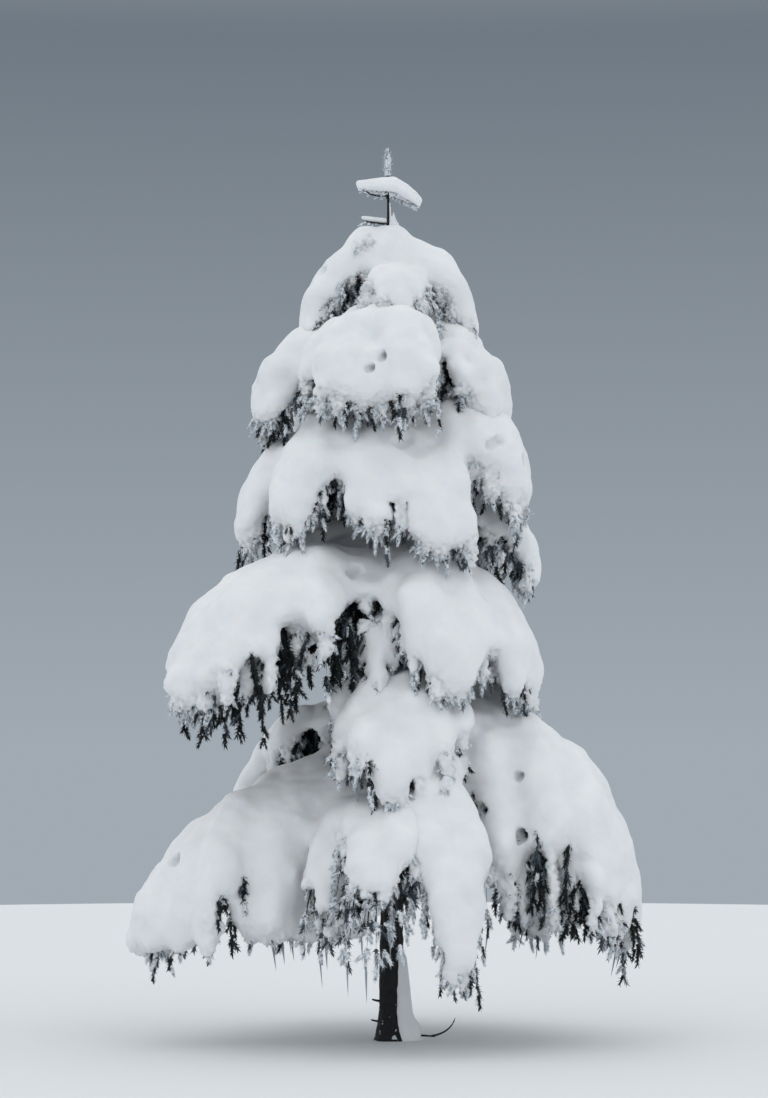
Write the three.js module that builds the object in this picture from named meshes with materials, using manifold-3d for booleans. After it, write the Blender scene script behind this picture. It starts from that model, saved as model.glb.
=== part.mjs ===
// A young Norway spruce that stands alone under a heavy load of snow, in millimetres, with +Z up.
// The origin is the middle of the flat cut through the trunk at the snow line. +X is to the right of
// the view that the tree was measured from, and -Y is towards that view.
//
// The tree grows by one rule. The trunk carries six whorls of boughs. Each bough hangs in an upright plane
// as an arc that leaves the trunk, runs out and then droops. Side twigs leave that arc in pairs and droop
// too. Snow lies over each bough as a pad with a lobe on every twig, and sprays of needles hang below.

import * as THREE from "three";
import { mergeVertices } from "three/addons/utils/BufferGeometryUtils.js";
import Module from "manifold-3d";

const wasm = await Module();
wasm.setup();

// Driving sizes of the trunk and of the leader shoot that carries on from it.
const TREE_HEIGHT = 4900;
const TRUNK_TOP = 4570;
const TRUNK_RADIUS = 69; // above the root flare
const TRUNK_TIP_RADIUS = 7;
const TRUNK_TAPER = 0.85;
const TRUNK_LEAN = -19; // sideways, at the tip
const TRUNK_BOW = 14; // sideways, half way up
const TRUNK_SIDES = 12;
const FLARE_HEIGHT = 170;
const FLARE_WIDTH = 24;
const FLARE_LOBES = 5;
const FLARE_LOBE_DEPTH = 6;

// Every bough: its side of the tree, the height where it leaves the trunk, its bearing in degrees (0 is +X
// and 270 is towards the view), its reach, its climb at the knee, how far below its root its tip hangs,
// the length and the sag of its longest twigs, the depth of its snow, and its number of pairs of twigs.
const WHORLS = [
  {
    hub: { height: 1400, radius: 180, depth: 260 },
    boughs: [
      bough("left", 1510, 193, 1130, -260, 760, 450, 400, 150, 4),
      bough("front_left", 1315, 243, 660, -10, 465, 240, 220, 105, 2),
      bough("front", 1260, 265, 860, 70, 320, 390, 320, 130, 3),
      bough("back_right", 1350, 42, 960, 40, 460, 380, 260, 130, 2),
      bough("back_left", 1350, 118, 960, 40, 480, 380, 260, 130, 2),
    ],
  },
  {
    hub: { height: 1830, radius: 170, depth: 200 },
    boughs: [
      bough("right", 1830, 346, 1000, -130, 700, 500, 480, 160, 4),
      bough("front_right", 1670, 289, 940, -40, 1050, 270, 230, 115, 3),
      bough("front", 1910, 270, 640, 60, 370, 430, 330, 130, 3),
      bough("low_right", 1930, 2, 580, 50, 130, 230, 120, 100, 1),
      bough("back", 1800, 82, 920, 60, 460, 420, 280, 130, 3),
      bough("back_left", 1770, 143, 800, 40, 420, 340, 240, 130, 2),
    ],
  },
  {
    hub: { height: 2560, radius: 160, depth: 230 },
    boughs: [
      bough("left", 2560, 211, 1010, -60, 420, 500, 450, 165, 4),
      bough("front_left", 2390, 262, 560, -20, 420, 120, 90, 65, 1),
      bough("front_right", 2550, 296, 630, 60, 340, 280, 310, 130, 3),
      bough("right", 2470, 336, 620, 60, 300, 320, 260, 130, 3),
      bough("back_right", 2460, 34, 690, 70, 330, 340, 250, 130, 2),
      bough("back", 2490, 92, 900, 80, 380, 400, 260, 130, 3),
      bough("back_left", 2720, 152, 700, 0, 320, 300, 220, 130, 2),
    ],
  },
  {
    hub: { height: 3210, radius: 135, depth: 210 },
    boughs: [
      bough("left", 3170, 186, 650, 100, 170, 290, 280, 120, 2),
      bough("front_left", 3302, 226, 610, 80, 280, 270, 250, 120, 2),
      bough("front", 3260, 263, 560, 90, 260, 250, 240, 115, 2),
      bough("front_right", 3216, 294, 560, 100, 330, 240, 240, 115, 2),
      bough("right", 3330, 338, 600, 100, 190, 300, 240, 130, 3),
      bough("low_right", 3020, 2, 640, 40, 290, 220, 230, 105, 2),
      bough("back_right", 3230, 52, 640, 100, 300, 310, 220, 120, 2),
      bough("back_left", 3245, 128, 660, 90, 320, 310, 220, 120, 2),
    ],
  },
  {
    hub: { height: 3860, radius: 115, depth: 110 },
    boughs: [
      bough("left", 3790, 194, 600, 70, 280, 250, 240, 125, 2),
      bough("front", 3870, 262, 470, 70, 260, 400, 350, 125, 3),
      bough("right", 3810, 344, 490, 100, 250, 240, 250, 125, 2),
      bough("back_right", 3772, 58, 490, 100, 250, 270, 210, 115, 2),
      bough("back_left", 3815, 130, 510, 70, 290, 270, 210, 115, 2),
    ],
  },
  {
    hub: { height: 4250, radius: 80, depth: 170 },
    boughs: [
      bough("left", 4260, 190, 370, 50, 250, 170, 190, 85, 2),
      bough("small_left", 4375, 203, 190, 30, 40, 70, 50, 45, 1),
      bough("front", 4120, 279, 330, 40, 110, 240, 170, 75, 2),
      bough("small_right", 4218, 318, 180, 45, 0, 70, 30, 40, 1),
      bough("right", 4255, 348, 350, 80, 240, 170, 180, 90, 2),
      bough("back", 4200, 92, 370, 70, 210, 210, 170, 85, 2),
    ],
  },
];
const CAP = {
  hub: { height: 4722, radius: 80, depth: 48 },
  boughs: [
    bough("left", 4640, 186, 150, -15, -60, 60, 20, 75, 1),
    bough("front", 4650, 262, 100, 0, 10, 60, 25, 70, 1),
    bough("right", 4655, 348, 130, 0, 60, 60, 30, 75, 1),
    bough("back", 4650, 95, 100, 0, 10, 60, 25, 70, 1),
  ],
};

const HEAP_SIDES = 7;

// A short twig near the trunk's tip, with a ledge of snow on it.
const LEDGE = bough("ledge", 4480, 187, 145, 10, -15, 34, 8, 40, 1);

// Dead twigs at the trunk's foot: two broken stubs on the left, and a forked one low on the right.
const STUBS = [
  { height: 205, bearing: 190, reach: 108, climb: 6, drop: -18, radius: 9 },
  { height: 95, bearing: 172, reach: 112, climb: 4, drop: -14, radius: 8 },
];
const FORKED = { height: 26, bearing: 350, reach: 245, climb: 4, drop: 4, radius: 8 };
const FORK_AT = 0.8;
const FORK = { bearing: 345, reach: 135, climb: 20, drop: -105, radius: 6 };
const SHOOT_RADII = [6, 4]; // of the leader's and the ledge's twigs, at root and tip

// Rings of the snow that the wind has plastered on the right of the trunk's foot, and of the collar of
// snow on the leader. The middle is how far to the right of the trunk's middle a ring's own middle is.
const FOOT_DRIFT = [
  { height: 0, radius: 88, middle: 88 },
  { height: 44, radius: 85, middle: 80 },
  { height: 110, radius: 68, middle: 58 },
  { height: 240, radius: 58, middle: 47 },
  { height: 434, radius: 54, middle: 34 },
  { height: 490, radius: 40, middle: 15 },
];
const FOOT_DRIFT_SIDES = 10;
const COLLAR = [
  { height: 4440, radius: 16, middle: 12 },
  { height: 4462, radius: 28, middle: 17 },
  { height: 4500, radius: 22, middle: 12 },
  { height: 4560, radius: 7, middle: 4 },
];
const COLLAR_SIDES = 8;

// How a bough and its twigs are shaped.
const KNEE = 0.82; // where along its reach an arc turns down
const LIMB_REACH = 900; // a bough of this reach or more shows a bare limb
const LIMB_END = 0.3; // the limb gives way to the needled stem here, as a share of the arc
const LIMB_SIDES = 6;
const STEM_END = 0.97;
const STEM_SIDES = 3;
const FIRST_TWIG = 0.22;
const LAST_TWIG = 0.95;
const TWIG_ANGLE_AT_TRUNK = 78; // degrees away from the bough
const TWIG_ANGLE_AT_TIP = 24;
const BOUGH_RADIUS = 5; // at the trunk, before what a long reach adds
const BOUGH_RADIUS_GAIN = 0.026;
const TWIG_RADIUS = 9;
const TWIG_CLIMB = 0.12; // as a share of its length
const TWIG_UNEVENNESS = 0.18;
const PAD_END_WIDTH = 0.4; // the twigs' length at both ends of a bough, against the longest
const STEEPEST = 1.3; // the slope of a bough that its twigs still follow

// How snow lies.
const PAD_FIRST_RING = 0.12; // along the arc; the pad's pointed start is in the trunk
const FIRST_RING_WIDTH = 0.5;
const SNOW_SEAT = 28; // above the wood that carries it
// Across a pad, as shares of its reach out along the twigs and of its depth: its right edge, three points
// over the top, its left edge, and the ridge of its underside, which lies along the bough.
const PAD_SECTION = [[1, 0], [0.62, 0.9], [0, 1], [-0.62, 0.9], [-1, 0], [0, -1]];
const PAD_UNDERSIDE = 0.45; // the depth below its middle, against the depth above
const PAD_END = 0.75; // its depth at both ends
const VALLEY = 0.7; // the pad's reach between two twigs, against its reach along them

// The sprays of needles, each a toothed blade that stands for a hand's length of shoots.
const SPRAY_LENGTH = 110;
const SPRAY_SHARE = 0.4; // what the length gains with the twigs' length
const SPRAY_WIDTH = 0.7;
const SPRAY_THICKNESS = 18;
// Its right half rim as shares of half its width and of its length, from the tip back: tip, notch, wide
// point, the narrow end of its stalk, and the stalk's root, which may be anywhere behind.
const SPRAY_RIM = [[0, 1], [0.4, 0.62], [1, 0.5], [0.16, 0.02], [0, -1]];
const SPRAY_MIDDLE = 0.35; // where the blade is thickest
const SPRAY_PAIRS = 4; // one less on a short bough
const SHORT_BOUGH = 650;
const SPRAY_AT_TIP = 0.9; // where along the bough its last spray starts
const SPRAY_BELOW_SNOW = 90; // how much further a spray hangs than the snow above it
const LONGEST_SPRAY = 1.1; // against the twigs of the snow above it, at the first try
const SHORTEST_SPRAY = 0.7;
const TRIES = 5;
const LEADER_NEEDLES = 4780; // where the needles on the leader start
const LEADER_TIP = 4870; // of its stem
const LEADER_BLADE_TURNS = [0, 60, 120];

// Clearances between solids that touch on the real tree.
const SEAT = 0.45;
const GAP = 0.9;
const SNOW_GAP = 1.006; // the snow of a whorl swells by this, away from a low point, to cut what lies on it
const SWELL_FROM = 600; // how far that point is below the whorl's heap

// Colours, as seen in flat winter light.
const BARK = new THREE.MeshStandardMaterial({ color: 0x1d1a19, roughness: 0.9, metalness: 0 });
const NEEDLES = new THREE.MeshStandardMaterial({ color: 0x1f2b28, roughness: 0.7, metalness: 0 });
const SNOW = new THREE.MeshStandardMaterial({ color: 0xe3e8ec, roughness: 0.6, metalness: 0 });

const { lerp, clamp, degToRad } = THREE.MathUtils;

function bough(side, height, bearing, reach, climb, drop, spread, sag, snow, pairs) {
  return { side, height, bearing, reach, climb, drop, spread, sag, snow, pairs };
}

// Draws numbers from 0 to 1 that are the same on every run, from a seed made of a name's letters.
function seeded(name) {
  let state = 7;
  for (const letter of name) state = (Math.imul(state, 31) + letter.charCodeAt(0)) >>> 0;
  return () => {
    state = (Math.imul(state, 1664525) + 1013904223) >>> 0;
    return state / 4294967296;
  };
}

// The middle and the radius of the trunk at a height.
function trunkMiddle(height) {
  const share = height / TREE_HEIGHT;
  const x = TRUNK_LEAN * share + TRUNK_BOW * Math.sin(Math.PI * share);
  return new THREE.Vector3(x, 0, height);
}

function trunkRadius(height) {
  const left = Math.max(0, 1 - height / TRUNK_TOP);
  const flare = FLARE_WIDTH * Math.max(0, 1 - height / FLARE_HEIGHT) ** 2;
  return TRUNK_TIP_RADIUS + (TRUNK_RADIUS - TRUNK_TIP_RADIUS) * left ** TRUNK_TAPER + flare;
}

// An arc in an upright plane, from a start, towards a bearing in radians.
function arc(start, bearing, reach, climb, drop) {
  const out = new THREE.Vector3(Math.cos(bearing), Math.sin(bearing), 0);
  const side = new THREE.Vector3(-out.y, out.x, 0);
  const knee = start.clone().addScaledVector(out, reach * KNEE);
  knee.z += climb;
  const end = start.clone().addScaledVector(out, reach);
  end.z -= drop;
  return { curve: new THREE.QuadraticBezierCurve3(start, knee, end), bearing, side };
}

function boughArc(b) {
  return arc(trunkMiddle(b.height), degToRad(b.bearing), b.reach, b.climb, b.drop);
}

// A side twig. It leaves the bough at t, on the side given by -1 or 1, and follows the bough downhill.
function twigArc(b, t, side, length, sag) {
  const axis = boughArc(b);
  const along = axis.curve.getTangent(t);
  const slope = -along.z / Math.hypot(along.x, along.y);
  const turn = degToRad(lerp(TWIG_ANGLE_AT_TRUNK, TWIG_ANGLE_AT_TIP, t));
  const drop = sag + clamp(slope, 0, STEEPEST) * length * Math.cos(turn);
  return arc(axis.curve.getPoint(t), axis.bearing + side * turn, length, TWIG_CLIMB * length, drop);
}

// How long the twigs at t are, against the longest of their bough.
const fullness = (t) => lerp(PAD_END_WIDTH, 1, Math.sin(Math.PI * t ** 0.85) ** 0.8);

// The pairs of twigs of a bough: where each pair leaves it, and how long its right and left twigs are,
// as shares of the longest.
function twigPairs(b) {
  const draw = seeded(b.name);
  return Array.from({ length: b.pairs }, (_, pair) => {
    const t = lerp(FIRST_TWIG, LAST_TWIG, (pair + 0.5) / b.pairs);
    const size = () => fullness(t) * lerp(1 - TWIG_UNEVENNESS, 1 + TWIG_UNEVENNESS, draw());
    return { t, sizes: { [-1]: size(), [1]: size() } };
  });
}

// A closed geometry as a solid for cutting and joining.
function solid(geometry) {
  geometry.deleteAttribute("normal");
  geometry.deleteAttribute("uv");
  const merged = mergeVertices(geometry, 1e-3);
  const vertProperties = merged.attributes.position.array;
  const triVerts = new Uint32Array(merged.index.array);
  return new wasm.Manifold(new wasm.Mesh({ numProp: 3, vertProperties, triVerts }));
}

const union = (solids) => wasm.Manifold.union(solids);

const biggest = (made) =>
  made.decompose().reduce((best, one) => (one.volume() > best.volume() ? one : best));

// Wood along an arc: a tapering tube with flat ends. Grown, it is larger all round, to cut a clearance.
function wood(limb, [from, to], [rootRadius, tipRadius], sides, steps, grow) {
  const tube = new THREE.CylinderGeometry(1, 1, 1, sides, steps);
  const position = tube.attributes.position;
  const further = grow / limb.curve.getLength();
  for (let i = 0; i < position.count; i++) {
    const share = position.getY(i) + 0.5;
    const t = lerp(from - further, to + further, share);
    const radius = lerp(rootRadius, tipRadius, share) + grow;
    const above = limb.curve.getTangent(clamp(t, 0, 1)).cross(limb.side);
    const point = limb.curve.getPoint(t);
    point.addScaledVector(limb.side, -position.getX(i) * radius);
    point.addScaledVector(above, position.getZ(i) * radius);
    position.setXYZ(i, point.x, point.y, point.z);
  }
  return solid(tube);
}

// A turned shape whose middle may shift with height. Each ring is a height, a radius and a middle.
function turned(rings, sides, bulge) {
  const profile = rings.map(({ height, radius }) => new THREE.Vector2(radius, height));
  const bottom = new THREE.Vector2(0, profile[0].y);
  const top = new THREE.Vector2(0, profile[profile.length - 1].y);
  const shape = new THREE.LatheGeometry([bottom, ...profile, top], sides);
  shape.rotateX(Math.PI / 2);
  const position = shape.attributes.position;
  for (let i = 0; i < position.count; i++) {
    const [x, y, z] = [position.getX(i), position.getY(i), position.getZ(i)];
    const { middle } = rings.find(({ height }) => Math.abs(height - z) < 0.01);
    const distance = Math.hypot(x, y);
    const scale = distance > 0.01 ? 1 + bulge(Math.atan2(y, x), z) / distance : 1;
    position.setXYZ(i, x * scale + middle, y * scale, z);
  }
  return solid(shape);
}

// The trunk: it tapers, leans and bows, and its root flare has lobes.
function trunkSolid(grow) {
  const heights = [-grow, 60, FLARE_HEIGHT, 420, 1200, 2400, 3500, 4200, TRUNK_TOP];
  const rings = heights.map((height) => ({
    height,
    radius: trunkRadius(height) + grow,
    middle: trunkMiddle(height).x,
  }));
  const flareLobe = (angle, height) =>
    FLARE_LOBE_DEPTH * Math.max(0, 1 - height / FLARE_HEIGHT) * Math.sin(FLARE_LOBES * angle);
  return turned(rings, TRUNK_SIDES, flareLobe);
}

// The small twigs on the trunk itself.
function trunkTwigs(grow) {
  const twigFrom = (start, { bearing, reach, climb, drop }) => arc(start, degToRad(bearing), reach, climb, drop);
  const twigWood = (limb, { radius }) => wood(limb, [0, 1], [radius, radius / 2], 5, 3, grow);
  const forked = twigFrom(trunkMiddle(FORKED.height), FORKED);
  return union([
    ...STUBS.map((stub) => twigWood(twigFrom(trunkMiddle(stub.height), stub), stub)),
    twigWood(forked, FORKED),
    twigWood(twigFrom(forked.curve.getPoint(FORK_AT), FORK), FORK),
    wood(boughArc(LEDGE), [0, 0.95], SHOOT_RADII, STEM_SIDES, 2, grow),
  ]);
}

// How thick a bough's wood is at t, and the stem inside its needles: from its limb's tip, or from the
// trunk, to near the bough's tip.
function boughRadius(b, t) {
  return lerp(BOUGH_RADIUS + b.reach * BOUGH_RADIUS_GAIN, TWIG_RADIUS, t);
}

const hasLimb = (b) => b.reach >= LIMB_REACH;

function limbSolid(b, grow) {
  const radii = [boughRadius(b, 0), boughRadius(b, LIMB_END)];
  return wood(boughArc(b), [0, LIMB_END], radii, LIMB_SIDES, 2, grow);
}

function stemSolid(b, grow) {
  const axis = boughArc(b);
  const from = hasLimb(b) ? LIMB_END + SEAT / axis.curve.getLength() : 0;
  return wood(axis, [from, STEM_END], [boughRadius(b, from), TWIG_RADIUS], STEM_SIDES, 3, grow);
}

// One ring of a pad of snow, on one side of the bough: where it leaves the bough, and how far out it
// goes and sags. Rings take turns between a valley and a lobe, from a point at each end.
function padRing(b, ring, side) {
  const pairs = twigPairs(b);
  const last = 2 * b.pairs + 2;
  const before = pairs[clamp(Math.floor((ring - 1) / 2), 0, b.pairs - 1)];
  const after = pairs[clamp(Math.ceil((ring - 1) / 2), 0, b.pairs - 1)];
  const isLobe = ring % 2 === 0;
  let size = ((before.sizes[side] + after.sizes[side]) / 2) * (isLobe ? 1 : VALLEY);
  if (ring === 1) size *= FIRST_RING_WIDTH;
  let t = (before.t + after.t) / 2;
  if (ring === 0) t = 0;
  if (ring === 1) t = PAD_FIRST_RING;
  if (ring === last - 1) t = (1 + LAST_TWIG) / 2;
  if (ring === last) t = 1;
  return { t, length: b.spread * size, sag: b.sag * size };
}

// The snow on one bough: a lobed pad whose rings run out along its twigs.
function snowPad(b) {
  const axis = boughArc(b);
  const last = 2 * b.pairs + 2;
  const sides = PAD_SECTION.length;
  const pad = new THREE.SphereGeometry(1, sides, last);
  const position = pad.attributes.position;
  for (let i = 0; i < position.count; i++) {
    const fromTop = Math.acos(clamp(position.getY(i), -1, 1)) / Math.PI;
    const ring = last - Math.round(fromTop * last);
    const isEnd = ring === 0 || ring === last;
    const around = Math.atan2(position.getZ(i), -position.getX(i)) / (2 * Math.PI);
    const [out, up] = isEnd ? [0, 0] : PAD_SECTION[Math.round(around * sides + sides) % sides];
    const side = out < 0 ? -1 : 1;
    const { t, length, sag } = padRing(b, ring, side);
    const twig = twigArc(b, t, side, length, sag);
    const s = Math.abs(out);
    const above = axis.curve.getTangent(t).cross(axis.side);
    above.add(twig.curve.getTangent(s).cross(twig.side)).normalize();
    const isThin = ring === 1 || ring === last - 1;
    const depth = (b.snow / (1 + PAD_UNDERSIDE)) * (isThin ? PAD_END : 1);
    const lift = depth * up * (up > 0 ? 1 : PAD_UNDERSIDE);
    const point = twig.curve.getPoint(s);
    point.addScaledVector(above, boughRadius(b, t) + SNOW_SEAT + depth * PAD_UNDERSIDE + lift);
    position.setXYZ(i, point.x, point.y, point.z);
  }
  return solid(pad);
}

// The snow of a whorl: its pads, and the heap round the trunk that joins them.
function whorlSnow({ hub, boughs }) {
  const heap = new THREE.SphereGeometry(1, HEAP_SIDES, 4);
  heap.rotateX(Math.PI / 2);
  heap.scale(hub.radius, hub.radius, hub.depth);
  heap.translate(trunkMiddle(hub.height).x, 0, hub.height);
  return union([solid(heap), ...boughs.map(snowPad)]);
}

// The same snow, swollen away from a low point on the trunk, to cut a clearance from what lies on it.
function swollen(made, { hub }) {
  const { x, z } = trunkMiddle(hub.height - SWELL_FROM);
  return made.translate(-x, 0, -z).scale(SNOW_GAP).translate(x, 0, z);
}

// Snow heaped against the trunk, from rings of which each has a middle to the right of the trunk's.
function drift(rings, sides) {
  const placed = rings.map((ring) => ({ ...ring, middle: ring.middle + trunkMiddle(ring.height).x }));
  return turned(placed, sides, () => 0);
}

// A spray of needles: a thin toothed blade on a straight stalk, in one closed shape.
function spray(start, end, blade, turn, grow) {
  const direction = end.clone().sub(start);
  const stalk = direction.length() - blade;
  direction.normalize();
  const points = 2 * (SPRAY_RIM.length - 1);
  const shape = new THREE.SphereGeometry(1, points, 2);
  const position = shape.attributes.position;
  for (let i = 0; i < position.count; i++) {
    const [x, y, z] = [position.getX(i), position.getY(i), position.getZ(i)];
    if (Math.abs(y) > 0.5) {
      position.setXYZ(i, 0, y * (SPRAY_THICKNESS / 2 + grow), SPRAY_MIDDLE * blade);
      continue;
    }
    const fromTip = Math.round((Math.abs(Math.atan2(x, z)) / Math.PI) * (SPRAY_RIM.length - 1));
    const [wide, along] = SPRAY_RIM[fromTip];
    const isMiddle = wide === 0;
    const across = isMiddle ? 0 : Math.sign(x) * ((wide * blade * SPRAY_WIDTH) / 2 + grow);
    const ahead = along < 0 ? -stalk - grow : along * blade + Math.sign(along - SPRAY_MIDDLE) * grow;
    position.setXYZ(i, across, 0, ahead);
  }
  const across = new THREE.Vector3(Math.cos(turn), Math.sin(turn), 0);
  across.addScaledVector(direction, -across.dot(direction)).normalize();
  const facing = direction.clone().cross(across);
  shape.applyMatrix4(new THREE.Matrix4().makeBasis(across, facing, direction));
  const foot = start.clone().addScaledVector(direction, stalk);
  shape.translate(foot.x, foot.y, foot.z);
  return solid(shape);
}

// Solids that are in place, with their boxes, so that a new twig or spray can be kept clear of them.
const standing = [];

function stand(made, owner) {
  standing.push({ made, owner, bounds: made.boundingBox() });
}

function isClear(shape, owner) {
  const box = shape.boundingBox();
  return standing.every((one) => {
    if (one.owner === owner) return true;
    const { min, max } = one.bounds;
    const isFar = [0, 1, 2].some((k) => box.max[k] < min[k] || box.min[k] > max[k]);
    return isFar || one.made.intersect(shape).isEmpty();
  });
}

// The needles of one bough: its stem, sprays that leave it on both sides below the snow, and one at its
// tip. A spray that would touch something is tried again shorter and steeper. A bough deep in snow where
// no spray finds room stays bare.
function needleMass(b, stem) {
  const axis = boughArc(b);
  const draw = seeded(b.name + "_needles");
  const parts = [stem];
  const hang = (start, endOn) => {
    for (let tries = 0; tries < TRIES; tries++) {
      const end = endOn(lerp(LONGEST_SPRAY, SHORTEST_SPRAY, tries / TRIES) * lerp(0.85, 1.15, draw()), tries);
      const blade = (SPRAY_LENGTH + b.spread * SPRAY_SHARE) * lerp(0.8, 1.2, draw());
      const turn = Math.PI * draw();
      const reach = Math.min(blade, 0.9 * end.distanceTo(start));
      if (!isClear(spray(start, end, reach, turn, GAP), b.name)) continue;
      parts.push(spray(start, end, reach, turn, 0));
      return;
    }
  };
  const first = hasLimb(b) ? LIMB_END + 0.05 : FIRST_TWIG;
  const count = b.reach < SHORT_BOUGH ? SPRAY_PAIRS - 1 : SPRAY_PAIRS;
  for (let pair = 0; pair < count; pair++)
    for (const side of [-1, 1]) {
      const t = lerp(first, LAST_TWIG, (pair + 0.5) / count);
      const longest = b.spread * fullness(t);
      const sag = b.sag * fullness(t);
      hang(axis.curve.getPoint(t), (size, tries) =>
        twigArc(b, t, side, longest * size, sag + SPRAY_BELOW_SNOW * (1 + tries)).curve.getPoint(1),
      );
    }
  hang(axis.curve.getPoint(SPRAY_AT_TIP), (size, tries) => {
    const end = axis.curve.getPoint(SPRAY_AT_TIP);
    end.addScaledVector(axis.curve.getTangent(1), b.spread * 0.5 * size);
    return end.setZ(end.z - (SPRAY_BELOW_SNOW * (1 + tries)) / 2);
  });
  return { made: biggest(union(parts)), isBare: parts.length === 1 };
}

// The leader: the top shoot above the trunk's tip, with four short twigs under its cap of snow, and
// upright toothed blades of needles round it.
function leaderMass(grow) {
  const foot = TRUNK_TOP + SEAT - grow;
  const top = LEADER_TIP + grow;
  const radii = [SHOOT_RADII[0] + grow, TRUNK_TIP_RADIUS + grow];
  const stem = new THREE.CylinderGeometry(...radii, top - foot, LIMB_SIDES, 1);
  stem.rotateX(Math.PI / 2);
  stem.translate(trunkMiddle(TREE_HEIGHT).x, 0, (top + foot) / 2);
  const start = trunkMiddle(TREE_HEIGHT).setZ(LEADER_NEEDLES);
  const end = trunkMiddle(TREE_HEIGHT);
  const length = 0.9 * (TREE_HEIGHT - LEADER_NEEDLES);
  const blades = LEADER_BLADE_TURNS.map((turn) => spray(start, end, length, degToRad(turn), grow));
  const twigs = CAP.boughs.map((b) => wood(boughArc(b), [0, 0.9], SHOOT_RADII, STEM_SIDES, 1, grow));
  return union([solid(stem), ...twigs, ...blades]);
}

const root = new THREE.Group();

function add(name, made, material) {
  const mesh = made.getMesh();
  const geometry = new THREE.BufferGeometry();
  geometry.setAttribute("position", new THREE.BufferAttribute(Float32Array.from(mesh.vertProperties), 3));
  geometry.setIndex(new THREE.BufferAttribute(mesh.triVerts, 1));
  geometry.computeVertexNormals();
  const piece = new THREE.Mesh(geometry, material);
  piece.name = name;
  root.add(piece);
}

WHORLS.forEach(({ boughs }, i) => boughs.forEach((b) => (b.name = `${i + 1}_${b.side}`)));
CAP.boughs.forEach((b) => (b.name = `cap_${b.side}`));
LEDGE.name = "ledge";
const allBoughs = WHORLS.flatMap(({ boughs }) => boughs);

// Wood first: the trunk, the bare limbs, and the stems inside the needles.
const trunkGrown = trunkSolid(SEAT);
const trunkTwigsGrown = trunkTwigs(GAP);
add("trunk", trunkSolid(0).add(trunkTwigs(0)), BARK);
stand(trunkGrown, "");

const stems = new Map();
for (const b of allBoughs) {
  if (hasLimb(b)) {
    add("limb_" + b.name, biggest(limbSolid(b, 0).subtract(trunkGrown)), BARK);
    stand(limbSolid(b, GAP), b.name);
  }
  stems.set(b.name, hasLimb(b) ? stemSolid(b, 0) : biggest(stemSolid(b, 0).subtract(trunkGrown)));
  stand(stemSolid(b, GAP), b.name);
}
const woodGrown = union([trunkTwigsGrown, ...standing.map(({ made }) => made)]);

// Then snow, from the lowest whorl up: each is cut clear of the wood and of the whorl below.
let snowBelow = null;
WHORLS.forEach((whorl, i) => {
  const whole = whorlSnow(whorl);
  const cut = whole.subtract(woodGrown);
  const made = biggest(snowBelow ? cut.subtract(snowBelow) : cut);
  add("snow_whorl_" + (i + 1), made, SNOW);
  stand(made, "");
  snowBelow = swollen(whole, whorl);
});
const trunkWoodGrown = trunkGrown.add(trunkTwigsGrown);
const collar = drift(COLLAR, COLLAR_SIDES).add(snowPad(LEDGE));
const collarCut = biggest(collar.subtract(trunkWoodGrown).subtract(snowBelow));
const footCut = biggest(drift(FOOT_DRIFT, FOOT_DRIFT_SIDES).subtract(trunkWoodGrown));
add("snow_collar", collarCut, SNOW);
add("snow_foot", footCut, SNOW);
stand(collarCut, "");
stand(footCut, "");

// Then the needles that find room, and the leader with its cap.
for (const b of allBoughs) {
  const { made, isBare } = needleMass(b, stems.get(b.name));
  add((isBare ? "limb_" : "needles_") + b.name, made, isBare ? BARK : NEEDLES);
  stand(made, b.name);
}
add("needles_leader", leaderMass(0), NEEDLES);
add("snow_cap", biggest(whorlSnow(CAP).subtract(leaderMass(GAP))), SNOW);

export default root;
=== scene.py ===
# %% [markdown]
# A young Norway spruce stands alone after days of snowfall. Its boughs hang like the ribs of a half-shut
# umbrella under pads of settled snow, and the needles only show where the snow ends: as a rough white fringe
# of rimed shoots, and as near-black curtains in the shade below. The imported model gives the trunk, the boughs
# and the pads as plain solids. This script grows the same tree again, finer, in the same place.

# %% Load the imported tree
import math
from collections import namedtuple

import bpy
import numpy as np
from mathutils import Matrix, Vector, noise


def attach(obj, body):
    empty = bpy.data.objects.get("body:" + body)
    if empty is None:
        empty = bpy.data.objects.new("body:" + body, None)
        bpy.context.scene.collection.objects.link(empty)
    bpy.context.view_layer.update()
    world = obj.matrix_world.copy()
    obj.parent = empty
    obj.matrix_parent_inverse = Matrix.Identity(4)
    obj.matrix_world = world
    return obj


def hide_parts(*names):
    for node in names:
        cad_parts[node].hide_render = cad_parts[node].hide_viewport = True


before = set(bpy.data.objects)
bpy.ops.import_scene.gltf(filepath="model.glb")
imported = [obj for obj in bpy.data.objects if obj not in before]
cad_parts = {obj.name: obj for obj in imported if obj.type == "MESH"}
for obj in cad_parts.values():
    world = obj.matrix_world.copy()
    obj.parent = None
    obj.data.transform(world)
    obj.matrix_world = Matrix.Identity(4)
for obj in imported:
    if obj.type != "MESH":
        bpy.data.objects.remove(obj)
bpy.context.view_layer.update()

# %% [markdown]
# The camera comes first, because every later choice of how fine to build is made through it. A tree is
# photographed from afar with a long lens, which keeps the top and the foot at the same scale. A short lens
# close by would make the lowest boughs swell. So the camera stands 16 m off at eye height and looks a little
# up, with a lens of about 95 mm on a full frame turned upright.

# %% Set up the camera
EYE = (-0.0385, -16.0, 1.6)
PITCH_DEGREES = 3.85
FOCAL_PIXELS = 2915
IMAGE_HEIGHT = 1098
SENSOR_LONG_SIDE = 36.0

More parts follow.
